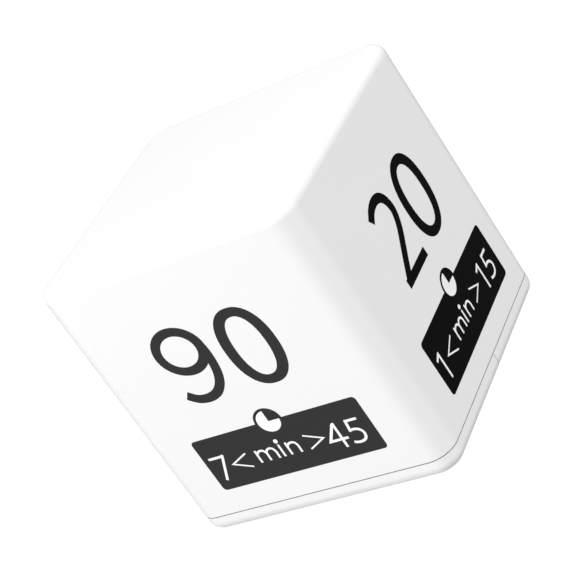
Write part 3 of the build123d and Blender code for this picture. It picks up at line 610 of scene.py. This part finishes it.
# Digits and letters as shares of the digit's height: kind, then points. "curve" runs smoothly
# through its points, "line" has sharp corners, "ring" lies between two ovals, "dot" is filled.
NINE_SHARES = [
    ("ring", oval((0.338, 0.684), 0.338, 0.313), oval((0.334, 0.684), 0.218, 0.202)),
    ("curve", [
        (0.616, 0.71), (0.629, 0.6), (0.624, 0.464), (0.6, 0.33), (0.552, 0.215),
        (0.478, 0.126), (0.394, 0.076), (0.285, 0.057), (0.167, 0.079), (0.059, 0.154),
    ]),
]
ZERO_CENTRE, ZERO_POWER = (0.334, 0.5), 2.25
STEM_SHARES = ("line", [(0.065, 0.0), (0.065, 0.503)])
DOT_STEPS = 24
GLYPH_SHARES = {
    "0": [(
        "ring", oval(ZERO_CENTRE, 0.334, 0.5, ZERO_POWER),
        oval(ZERO_CENTRE, 0.196, 0.384, ZERO_POWER),
    )],
    "1": [
        ("line", [(0.045, 0.822), (0.26, 0.925), (0.317, 0.925)]),
        ("line", [(0.317, 1.0), (0.317, 0.0)]),
    ],
    "2": [
        ("curve", [
            (0.054, 0.839), (0.162, 0.913), (0.294, 0.942), (0.416, 0.913), (0.495, 0.826),
            (0.525, 0.7), (0.498, 0.594), (0.429, 0.481), (0.315, 0.353), (0.2, 0.225),
            (0.075, 0.08),
        ]),
        ("line", [(0.0, 0.058), (0.614, 0.058)]),
    ],
    "3": [
        ("curve", [
            (0.05, 0.872), (0.16, 0.922), (0.3, 0.942), (0.43, 0.895), (0.49, 0.765),
            (0.43, 0.625), (0.29, 0.545), (0.17, 0.535),
        ]),
        ("curve", [
            (0.17, 0.535), (0.32, 0.525), (0.475, 0.455), (0.54, 0.3), (0.47, 0.14),
            (0.3, 0.06), (0.14, 0.072), (0.03, 0.12),
        ]),
    ],
    "4": [
        ("line", [(0.5, 0.955), (0.075, 0.338), (0.76, 0.338)]),
        ("line", [(0.528, 1.0), (0.528, 0.0)]),
    ],
    "5": [
        ("line", [(0.588, 0.935), (0.168, 0.935), (0.126, 0.535)]),
        ("curve", [
            (0.08, 0.545), (0.2, 0.575), (0.33, 0.567), (0.45, 0.515), (0.53, 0.41),
            (0.54, 0.29), (0.49, 0.17), (0.39, 0.095), (0.25, 0.067), (0.12, 0.08),
            (0.015, 0.12),
        ]),
    ],
    "6": turned(NINE_SHARES, 0.686),
    "7": [
        ("line", [(0.0, 0.932), (0.56, 0.932)]),
        ("line", [(0.6, 0.99), (0.555, 0.875), (0.155, 0.0)]),
    ],
    "9": NINE_SHARES,
    "<": [("line", [(0.738, 0.284), (0.058, 0.0), (0.738, -0.284)])],
    ">": [("line", [(0.04, 0.284), (0.69, 0.0), (0.04, -0.284)])],
    "m": [
        STEM_SHARES,
        ("curve", [
            (0.065, 0.3), (0.125, 0.4), (0.25, 0.45), (0.375, 0.41), (0.435, 0.28),
            (0.435, 0.14), (0.435, 0.0),
        ]),
        ("curve", [
            (0.435, 0.3), (0.495, 0.4), (0.615, 0.45), (0.735, 0.41), (0.796, 0.28),
            (0.796, 0.14), (0.796, 0.0),
        ]),
    ],
    "i": [STEM_SHARES, ("dot", oval((0.065, 0.64), 0.082, 0.082, count=DOT_STEPS))],
    "n": [
        STEM_SHARES,
        ("curve", [
            (0.065, 0.3), (0.13, 0.4), (0.265, 0.45), (0.395, 0.41), (0.456, 0.28),
            (0.456, 0.14), (0.456, 0.0),
        ]),
    ],
}

# Space before a letter, room up to the next one and weight of its strokes, where they differ.
BEARING_SHARES = {"1": 0.175, "2": 0.117}
ROOM_SHARES = {"m": 0.952, "i": 0.276}
DIGIT_ROOM_SHARE = 0.8345
WEIGHT_SHARES = {"m": 0.84, "i": 0.84, "n": 0.84, "<": 0.61, ">": 0.61}


def glyph(letter, corner, height, width, low, high):
    """Mesh of one digit or letter, its strokes joined, with its lower left at corner."""
    meshes = []
    for kind, *lines in GLYPH_SHARES[letter]:
        edges = [[Vector(corner) + Vector(point) * height for point in line] for line in lines]
        if kind == "ring":
            meshes.append(strip(*edges, True, low, high))
        elif kind == "dot":
            meshes.append(plate(edges[0], low, high))
        else:
            line = smooth_line(edges[0]) if kind == "curve" else edges[0]
            meshes.append(stroke(line, width, low, high))
    return joined(meshes)


def line_of_print(text, left, foot, height, width, low, high):
    """Meshes of a line of print, letter by letter."""
    meshes = []
    for letter in text:
        corner = (left + BEARING_SHARES.get(letter, 0.0) * height, foot)
        weight = WEIGHT_SHARES.get(letter, 1.0)
        meshes.append(glyph(letter, corner, height, width * weight, low, high))
        left += ROOM_SHARES.get(letter, DIGIT_ROOM_SHARE) * height
    return meshes


def face_matrix(origin, right, up):
    """Matrix that lays a flat drawing, in metres, on a face of the cube."""
    right, up = Vector(right), Vector(up)
    matrix = Matrix((right, up, right.cross(up))).transposed().to_4x4()
    matrix.translation = Vector(origin)
    return matrix


def add_piece(name, meshes, matrix, material, body):
    """One object from several flat meshes, laid on a face and riding on a body."""
    shape = bmesh.new()
    for data in meshes:
        shape.from_mesh(data)
    shape.transform(matrix)
    data = outward_mesh(shape, name)
    data.materials.append(material)
    piece = bpy.data.objects.new(name, data)
    bpy.context.scene.collection.objects.link(piece)
    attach(piece, body)


# Settings


class ShellSettings(bpy.types.PropertyGroup):
    plastic: bpy.props.StringProperty(
        name="Plastic", description="Colour of the housing, cover and door, as sRGB hex",
        default="#F7F7F7",
    )
    # Colour of the painted shade on the seam walls, as sRGB hex.
    painted_seam_shade: bpy.props.StringProperty(
        name="Dust", description="Colour of the dust in the seams, as sRGB hex", default="#C2C0BD"
    )
    roughness: bpy.props.FloatProperty(
        name="Roughness", description="How matt the moulded plastic is", default=0.36,
        min=0.0, max=1.0, subtype="FACTOR",
    )


class PrintSettings(bpy.types.PropertyGroup):
    # The same black ink twice: a lighter copy with painted sheen for the upper and lower faces, a
    # darker copy with painted shade for the side faces.
    lit_ink_copy: bpy.props.StringProperty(
        name="Upper ink", description="Ink on the face marked 90 and the one below, as sRGB hex",
        default="#353535",
    )
    shaded_ink_copy: bpy.props.StringProperty(
        name="Side ink", description="Ink on the two faces at the sides, as sRGB hex",
        default="#050505",
    )
    white_ink: bpy.props.StringProperty(
        name="White ink", description="Ink of the words on the bar, as sRGB hex", default="#FFFFFF"
    )
    digit_height: bpy.props.FloatProperty(
        name="Digit height", description="Height of the large digits", default=18.3 * MM,
        subtype="DISTANCE", unit="LENGTH",
    )
    digit_stroke: bpy.props.FloatProperty(
        name="Digit stroke", description="Width of a large digit's strokes", default=2.06 * MM,
        subtype="DISTANCE", unit="LENGTH",
    )
    word_height: bpy.props.FloatProperty(
        name="Word height", description="Height of the digits on the bar", default=6.1 * MM,
        subtype="DISTANCE", unit="LENGTH",
    )
    word_stroke: bpy.props.FloatProperty(
        name="Word stroke", description="Width of a small digit's strokes", default=0.58 * MM,
        subtype="DISTANCE", unit="LENGTH",
    )
    bar_width: bpy.props.FloatProperty(
        name="Bar width", description="Width of the bar", default=40.24 * MM,
        subtype="DISTANCE", unit="LENGTH",
    )
    bar_height: bpy.props.FloatProperty(
        name="Bar height", description="Height of the bar", default=12.93 * MM,
        subtype="DISTANCE", unit="LENGTH",
    )
    ink_thickness: bpy.props.FloatProperty(
        name="Ink thickness", description="Thickness of one printed layer", default=0.012 * MM,
        subtype="DISTANCE", unit="LENGTH", precision=6,
    )


class DisplaySettings(bpy.types.PropertyGroup):
    film: bpy.props.StringProperty(
        name="Film", description="Colour of the display's front film, as sRGB hex",
        default="#A3AD9C",
    )
    lit: bpy.props.StringProperty(
        name="Lit segment", description="Colour of a segment that shows, as sRGB hex",
        default="#0E100D",
    )
    unlit: bpy.props.StringProperty(
        name="Unlit segment", description="Colour of a segment that is off, as sRGB hex",
        default="#98A291",
    )
    reading: bpy.props.StringProperty(
        name="Reading", description="Four digits that the display shows", default="9000"
    )
    segment_height: bpy.props.FloatProperty(
        name="Digit height", description="Height of a digit on the display", default=10.2 * MM,
        subtype="DISTANCE", unit="LENGTH",
    )


class StageSettings(bpy.types.PropertyGroup):
    paper: bpy.props.StringProperty(
        name="Floor", description="Colour of the floor, as sRGB hex", default="#7C7C7C"
    )
    paper_glow: bpy.props.FloatProperty(
        name="Floor glow", description="Light that the floor gives off itself", default=0.95,
        min=0.0,
    )
    sky: bpy.props.FloatProperty(
        name="Light from above", description="Strength of the white surroundings over the floor",
        default=0.425, min=0.0,
    )
    bounce: bpy.props.FloatProperty(
        name="Light from below", description="Strength of the light that comes back from the floor",
        default=0.7, min=0.0,
    )
    key: bpy.props.FloatProperty(
        name="Key light", description="Power of the softbox over the left of the upper face",
        default=17.0, min=0.0, subtype="POWER", unit="POWER",
    )
    side: bpy.props.FloatProperty(
        name="Side light", description="Power of the softbox behind the blank end", default=29.8,
        min=0.0, subtype="POWER", unit="POWER",
    )
    fill: bpy.props.FloatProperty(
        name="Fill light", description="Power of the softbox before the display", default=2.0,
        min=0.0, subtype="POWER", unit="POWER",
    )
    lens: bpy.props.FloatProperty(
        name="Lens", description="Focal length of the camera", default=121.86, min=1.0,
        subtype="DISTANCE_CAMERA", unit="CAMERA",
    )


# Operators


class TIMER_OT_shell(bpy.types.Operator):
    """Finish the housing, the front cover and the battery door"""

    bl_idname = "timer.shell"
    bl_label = "Housing, cover and door"

    def execute(self, context):
        settings = context.scene.timer_shell
        plastic = moulded_abs(
            "ABS, moulded, white", settings.plastic, settings.painted_seam_shade, settings.roughness
        )
        dress(plastic, "housing", "front_cover", "battery_door")
        return {"FINISHED"}


# Each number face: name, outward way, reading way, number, two times, ink (the copy with painted
# sheen above and below, with painted shade at the sides) and how far the print sits off the middle,
# in millimetres.
FACES = (
    ("upper", (0, 0, 1), (1, 0, 0), "90", ("7", "45"), "lit_ink_copy", (0.36, -0.07)),
    ("right", (1, 0, 0), (0, 0, -1), "20", ("1", "15"), "shaded_ink_copy", (1.16, -0.81)),
    ("lower", (0, 0, -1), (-1, 0, 0), "60", ("5", "25"), "lit_ink_copy", (0.0, 0.0)),
    ("left", (-1, 0, 0), (0, 0, 1), "30", ("3", "10"), "shaded_ink_copy", (0.0, 0.0)),
)

# Places of the print, from the middle of its face.
NUMBER_LEFT = -14.36 * MM
NUMBER_FOOT = -1.33 * MM
BAR_TOP = -8.95 * MM
BAR_CORNER = 0.9 * MM
CLOCK_PLACE = Vector((-0.28, -9.07)) * MM
CLOCK_RADIUS = 3.2 * MM
DIAL_RADIUS = 2.57 * MM
WORDS_FOOT = -19.6 * MM
FIRST_TIME_LEFT = -18.8 * MM
SECOND_TIME_LEFT = 8.91 * MM
SECOND_TIME_RISE = 0.14 * MM
# Text, left edge and height over the foot of the times.
SIGNS = (
    ("<", -14.49 * MM, 3.2 * MM),
    ("min", -8.03 * MM, 1.8 * MM),
    (">", 4.22 * MM, 3.58 * MM),
)


class TIMER_OT_prints(bpy.types.Operator):
    """Print the numbers, the bar and the clock sign on the four number faces"""

    bl_idname = "timer.prints"
    bl_label = "Numbers and bars"

    def execute(self, context):
        settings = context.scene.timer_prints
        white = screen_ink("Ink, silk-screened, white", settings.white_ink)
        # Charcoal is the black ink with painted sheen, black is the same ink with painted shade.
        inks = {
            "lit_ink_copy": screen_ink("Ink, silk-screened, charcoal", settings.lit_ink_copy),
            "shaded_ink_copy": screen_ink("Ink, silk-screened, black", settings.shaded_ink_copy),
        }
        low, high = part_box("housing")
        centre = (Vector(CAD_BOX[0]) + Vector(CAD_BOX[1])) / 2
        half = (high - low) / 2
        for name, normal, right, number, times, ink, shift in FACES:
            origin = centre + Vector((normal[0] * half.x, 0.0, normal[2] * half.z))
            offset = Matrix.Translation(Vector((*shift, 0.0)) * MM)
            matrix = face_matrix(origin, right, (0, 1, 0)) @ offset
            dark_shapes = self.dark_shapes(settings, number)
            white_shapes = self.white_shapes(settings, times)
            add_piece(f"print_{name}", dark_shapes, matrix, inks[ink], "root")
            add_piece(f"print_{name}_white", white_shapes, matrix, white, "root")
        return {"FINISHED"}

    def dark_shapes(self, settings, number):
        """The large number, and the bar with the rim of the clock sign."""
        layer = settings.ink_thickness
        shapes = line_of_print(
            number, NUMBER_LEFT, NUMBER_FOOT, settings.digit_height, settings.digit_stroke,
            -layer, layer,
        )
        reach = settings.bar_width / 2
        bar = rounded_outline(-reach, reach, BAR_TOP - settings.bar_height, BAR_TOP, BAR_CORNER)
        rim = round_outline(CLOCK_PLACE, CLOCK_RADIUS)
        shapes.append(joined([plate(bar, -layer, layer), plate(rim, -layer, layer)]))
        return shapes

    def white_shapes(self, settings, times):
        """White on top of the dark: three quarters of the clock's dial, the times and signs."""
        layer = settings.ink_thickness
        dial = round_outline(CLOCK_PLACE, DIAL_RADIUS, 90.0, 360.0)
        shapes = [plate(dial, 0.0, 2 * layer)]
        size = settings.word_height
        first, second = times
        flush_left = FIRST_TIME_LEFT - BEARING_SHARES.get(first, 0.0) * size
        words = ((first, flush_left, 0.0), *SIGNS, (second, SECOND_TIME_LEFT, SECOND_TIME_RISE))
        for text, left, rise in words:
            shapes += line_of_print(
                text, left, WORDS_FOOT + rise, size, settings.word_stroke, 0.0, 2 * layer
            )
        return shapes


# Bars that show in each display digit.
SEGMENTS = {
    "0": "abcdef", "1": "bc", "2": "abged", "3": "abgcd", "4": "fgbc", "5": "afgcd",
    "6": "afgedc", "7": "abc", "8": "abcdefg", "9": "abcdfg",
}
# Sizes on the display as shares of a digit's height, and how far the digits lean.
SEGMENT_SPAN_SHARE = 0.54
SEGMENT_BAR_SHARE = 0.12
SEGMENT_GAP_SHARE = 0.018
DIGIT_STEP_SHARE = 0.79
COLON_ROOM_SHARE = 0.34
COLON_LEFT_SHARE = 0.034
COLON_DOT_SHARE = 0.065
COLON_RISE_SHARES = (0.3, 0.7)
DIGIT_LEAN = 0.09
CRYSTAL_THICKNESS = 0.01 * MM


def segment_outlines(corner, height):
    """The seven bars of one display digit, by letter, each with pointed ends."""
    width, bar = height * SEGMENT_SPAN_SHARE, height * SEGMENT_BAR_SHARE
    gap, middle = height * SEGMENT_GAP_SHARE, height / 2
    spots = {
        "a": ((0, height), (width, height)), "b": ((width, middle), (width, height)),
        "c": ((width, 0), (width, middle)), "d": ((0, 0), (width, 0)),
        "e": ((0, 0), (0, middle)), "f": ((0, middle), (0, height)),
        "g": ((0, middle), (width, middle)),
    }
    outlines = {}
    for name, (start, end) in spots.items():
        start, end = Vector(start), Vector(end)
        way = (end - start).normalized()
        side = Vector((-way.y, way.x)) * bar / 2
        start, end = start + way * gap, end - way * gap
        inset = way * bar / 2
        outlines[name] = [
            Vector(corner) + Vector((point.x + point.y * DIGIT_LEAN, point.y))
            for point in (
                start, start + inset + side, end - inset + side,
                end, end - inset - side, start + inset - side,
            )
        ]
    return outlines


class TIMER_OT_display(bpy.types.Operator):
    """Finish the display and draw its digits"""

    bl_idname = "timer.display"
    bl_label = "Display"

    def execute(self, context):
        settings = context.scene.timer_display
        dress_group("display")
        acrylic = clear_sheet("Acrylic, moulded, clear", "#FBFDFC", ior=1.49, roughness=0.03)
        glass = clear_sheet("Soda glass, drawn", "#F2F8F4", ior=1.52, roughness=0.01)
        film = display_film("Polarising film", settings.film)
        dress(acrylic, "display_lens")
        dress(glass, "display_front_glass", "display_rear_glass")
        dress(film, "display_front_film", "display_reflector")
        crystal = {"roughness": 0.5, "grain_mm": 0.5, "specular": 0.1}
        lit = plain_plastic("Liquid crystal, dark", settings.lit, **crystal)
        unlit = plain_plastic("Liquid crystal, clear", settings.unlit, **crystal)
        low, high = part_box("display_front_film")
        middle = (low + high) / 2
        matrix = face_matrix((middle.x, low.y, middle.z), (1, 0, 0), (0, 0, 1))
        height = settings.segment_height
        step = height * DIGIT_STEP_SHARE
        colon = height * COLON_ROOM_SHARE
        total = 3 * step + colon + height * SEGMENT_SPAN_SHARE
        left = -total / 2 - height * DIGIT_LEAN / 2
        layer = CRYSTAL_THICKNESS
        on, off = [], []
        for index, digit in enumerate(settings.reading):
            x = left + index * step + (colon if index > 1 else 0)
            for name, outline in segment_outlines((x, -height / 2), height).items():
                (on if name in SEGMENTS[digit] else off).append(plate(outline, layer, 2 * layer))
        x = left + 2 * step + height * COLON_LEFT_SHARE
        for share in COLON_RISE_SHARES:
            place = (x + DIGIT_LEAN * height * share, height * (share - 0.5))
            dot = round_outline(place, height * COLON_DOT_SHARE, count=DOT_STEPS)
            on.append(plate(dot, layer, 2 * layer))
        add_piece("display_digits", on, matrix, lit, "root")
        if off:
            add_piece("display_digits_off", off, matrix, unlit, "root")
        return {"FINISHED"}


# Signs of the slide controls. They stand on a line over the knob's middle: two arrows and a
# dot for the selector, a loud and a quiet horn for the sound. Horn, wave and cross are in
# millimetres from the middle of their sign.
SIGN_RISE = 3.55 * MM
ARROWS = (("<", -4.1 * MM), (">", 2.6 * MM))
ARROW_HEIGHT = 2.0 * MM
ARROW_STROKE = 0.32 * MM
DOT_RADIUS = 0.45 * MM
LOUD_LEFT = 1.0 * MM
QUIET_RIGHT = 3.0 * MM
HORN = ((-0.9, -0.35), (-0.45, -0.35), (0.15, -0.8), (0.15, 0.8), (-0.45, 0.35), (-0.9, 0.35))
WAVE_OVAL = oval((0.2, 0.0), 0.5, 0.6, count=36)
WAVE = WAVE_OVAL[-5:] + WAVE_OVAL[:6]
CROSS = (((0.4, 0.35), (1.1, -0.35)), ((0.4, -0.35), (1.1, 0.35)))
HORN_STROKE = 0.2 * MM


class TIMER_OT_controls(bpy.types.Operator):
    """Finish the slide controls and print their position marks"""

    bl_idname = "timer.controls"
    bl_label = "Slide controls"

    def execute(self, context):
        dress_group("controls")
        ink = screen_ink("Ink, silk-screened, grey", "#4A4A4A")
        layer = context.scene.timer_prints.ink_thickness
        matrix = face_matrix((0, CAD_BOX[0][1], 0), (1, 0, 0), (0, 0, 1))
        low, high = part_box("selector_knob")
        middle = (low + high) / 2
        line = middle.z + SIGN_RISE
        marks = [
            glyph(letter, (middle.x + left, line), ARROW_HEIGHT, ARROW_STROKE, -layer, layer)
            for letter, left in ARROWS
        ]
        dot = round_outline((middle.x, line), DOT_RADIUS, count=DOT_STEPS)
        marks.append(plate(dot, -layer, layer))
        low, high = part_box("sound_knob")
        middle = (low + high) / 2
        loud = Vector((middle.x - LOUD_LEFT, line))
        quiet = Vector((middle.x + QUIET_RIGHT, line))
        for place in (loud, quiet):
            horn = [place + Vector(point) * MM for point in HORN]
            marks.append(plate(horn, -layer, layer))
        wave = [loud + Vector(point) * MM for point in WAVE]
        marks.append(stroke(wave, HORN_STROKE, -layer, layer))
        # The second stroke of the cross is a little thicker, so that their tops don't coincide.
        for points, thickness in zip(CROSS, (layer * 0.75, layer * 1.25)):
            ends = [quiet + Vector(point) * MM for point in points]
            marks.append(stroke(ends, HORN_STROKE, -layer, thickness))
        add_piece("print_control_marks", marks, matrix, ink, "root")
        return {"FINISHED"}


class TIMER_OT_electronics(bpy.types.Operator):
    """Finish the board, its parts, the sounder and the tilt switches"""

    bl_idname = "timer.electronics"
    bl_label = "Board, sounder and tilt switches"

    def execute(self, context):
        dress_group("electronics")
        laminate = solder_masked_laminate("Glass epoxy, solder masked", "#1F6B3E", "#3C8C57")
        dress(laminate, "circuit_board")
        dress(wound_wire("Copper wire, enamelled, wound", "#B5622E", pitch_mm=0.2), "buzzer_coil")
        return {"FINISHED"}


class TIMER_OT_battery(bpy.types.Operator):
    """Finish the cells, their contacts and the wires"""

    bl_idname = "timer.battery"
    bl_label = "Cells and contacts"

    def execute(self, context):
        dress_group("battery")
        for node, way in (("upper_cell", 1), ("lower_cell", -1)):
            name = f"Shrink sleeve, printed, {node.split('_')[0]}"
            dress(printed_sleeve(name, node, way, "#D9DBDD", "#2E4A6B", "#C4C2BC"), node)
        return {"FINISHED"}


# The photograph's camera, worked out from the cube's edges.
CAMERA_RIGHT = Vector((0.78363093, -0.52656427, -0.32962498))
CAMERA_DOWN = Vector((-0.26367055, -0.76235828, 0.59100567))
CAMERA_LOOK = Vector((-0.5624948, -0.37621792, -0.73624702))
CAMERA_PLACE = Vector((218.667, 148.536, 288.254)) * MM

FLOOR_RADIUS = 3.0
FLOOR_THICKNESS = 0.004
FLOOR_STEPS = 96
# Name, way from the timer's middle, and the setting that holds the power.
SOFTBOXES = (
    ("Key softbox", (-0.75, 0.0, 0.66), "key"),
    ("Side softbox", (0.36, 0.8, 0.48), "side"),
    ("Fill softbox", (-0.4, -0.9, 0.1), "fill"),
)
SOFTBOX_DISTANCE = 2.0
SOFTBOX_SIZE = 1.0
# Cosines off the photograph's view at which the card behind the timer starts and is black.
CARD_START, CARD_BLACK = 0.78, 0.9
# How far over and under the horizon, as a sine, the light from above and below mix.
HORIZON_MIX = 0.1


class TIMER_OT_stage(bpy.types.Operator):
    """Set the floor, the lights and the camera"""

    bl_idname = "timer.stage"
    bl_label = "Floor, lights and camera"

    def execute(self, context):
        settings = context.scene.timer_stage
        scene = context.scene
        floor = plate(
            round_outline((0, 0), FLOOR_RADIUS, count=FLOOR_STEPS), -FLOOR_THICKNESS, 0.0
        )
        floor.materials.append(
            seamless_paper("Studio paper, seamless", settings.paper, settings.paper_glow)
        )
        stage = bpy.data.objects.new("floor", floor)
        scene.collection.objects.link(stage)
        # The surroundings stand in for what the floor sends back, which the paper would overdo.
        stage.visible_diffuse = False
        stage.visible_glossy = False
        stage.visible_shadow = False

        world = bpy.data.worlds.new("Studio surroundings")
        scene.world = world
        world.use_nodes = True
        tree = world.node_tree
        tree.nodes.clear()
        place = add_node(tree, "ShaderNodeTexCoord")
        axis = add_node(tree, "ShaderNodeSeparateXYZ", {"Vector": place.outputs["Generated"]})
        # A black card behind the timer draws a fine grey line round its white edges.
        behind = add_node(tree, "ShaderNodeVectorMath", {
            0: place.outputs["Generated"], 1: CAMERA_LOOK,
        }, operation="DOT_PRODUCT")
        below = add_node(tree, "ShaderNodeMapRange", {
            "Value": behind.outputs["Value"], "From Min": CARD_START, "From Max": CARD_BLACK,
            "To Min": settings.bounce, "To Max": 0.0,
        })
        strength = add_node(tree, "ShaderNodeMapRange", {
            "Value": axis.outputs["Z"], "From Min": -HORIZON_MIX, "From Max": HORIZON_MIX,
            "To Min": below.outputs["Result"], "To Max": settings.sky,
        })
        sky = add_node(tree, "ShaderNodeBackground", {
            "Color": (1.0, 1.0, 1.0, 1.0), "Strength": strength.outputs["Result"],
        })
        add_node(tree, "ShaderNodeOutputWorld", {"Surface": sky.outputs["Background"]})

        middle = (Vector(CAD_BOX[0]) + Vector(CAD_BOX[1])) / 2
        for name, way, setting in SOFTBOXES:
            lamp = bpy.data.lights.new(name, "AREA")
            lamp.shape = "DISK"
            lamp.size = SOFTBOX_SIZE
            lamp.energy = getattr(settings, setting)
            light = bpy.data.objects.new(name, lamp)
            way = Vector(way).normalized()
            light.location = middle + way * SOFTBOX_DISTANCE
            light.rotation_euler = way.to_track_quat("Z", "Y").to_euler()
            scene.collection.objects.link(light)

        camera = bpy.data.cameras.new("Camera")
        camera.lens = settings.lens
        camera.sensor_width = 36.0
        camera.clip_start, camera.clip_end = 0.01, 20.0
        eye = bpy.data.objects.new("Camera", camera)
        turn = Matrix((CAMERA_RIGHT, -CAMERA_DOWN, -CAMERA_LOOK)).transposed()
        eye.rotation_mode = "QUATERNION"
        eye.rotation_quaternion = turn.to_quaternion()
        eye.location = middle + CAMERA_PLACE
        scene.collection.objects.link(eye)
        scene.camera = eye
        scene.view_settings.view_transform = "Standard"
        return {"FINISHED"}


# Panel and registration


class TIMER_PT_panel(bpy.types.Panel):
    """Settings and steps of the cube timer"""

    bl_idname = "TIMER_PT_panel"
    bl_label = "Cube timer"
    bl_space_type = "VIEW_3D"
    bl_region_type = "UI"
    bl_category = "Cube timer"

    def draw(self, context):
        for name, group in SETTINGS:
            box = self.layout.box()
            for prop in group.__annotations__:
                box.prop(getattr(context.scene, name), prop)
        for operator in OPERATORS:
            self.layout.operator(operator.bl_idname)


SETTINGS = (
    ("timer_shell", ShellSettings),
    ("timer_prints", PrintSettings),
    ("timer_display", DisplaySettings),
    ("timer_stage", StageSettings),
)
OPERATORS = (
    TIMER_OT_shell,
    TIMER_OT_prints,
    TIMER_OT_display,
    TIMER_OT_controls,
    TIMER_OT_electronics,
    TIMER_OT_battery,
    TIMER_OT_stage,
)
CLASSES = (*(group for _, group in SETTINGS), *OPERATORS, TIMER_PT_panel)


def register():
    for item in CLASSES:
        bpy.utils.register_class(item)
    for name, group in SETTINGS:
        setattr(bpy.types.Scene, name, bpy.props.PointerProperty(type=group))


def unregister():
    for name, _ in SETTINGS:
        delattr(bpy.types.Scene, name)
    for item in reversed(CLASSES):
        bpy.utils.unregister_class(item)


def main():
    """Dress the frame, step by step."""
    register()
    bpy.ops.timer.shell()
    bpy.ops.timer.prints()
    bpy.ops.timer.display()
    bpy.ops.timer.controls()
    bpy.ops.timer.electronics()
    bpy.ops.timer.battery()
    bpy.ops.timer.stage()
    bpy.context.view_layer.update()


if __name__ == "__main__":
    main()
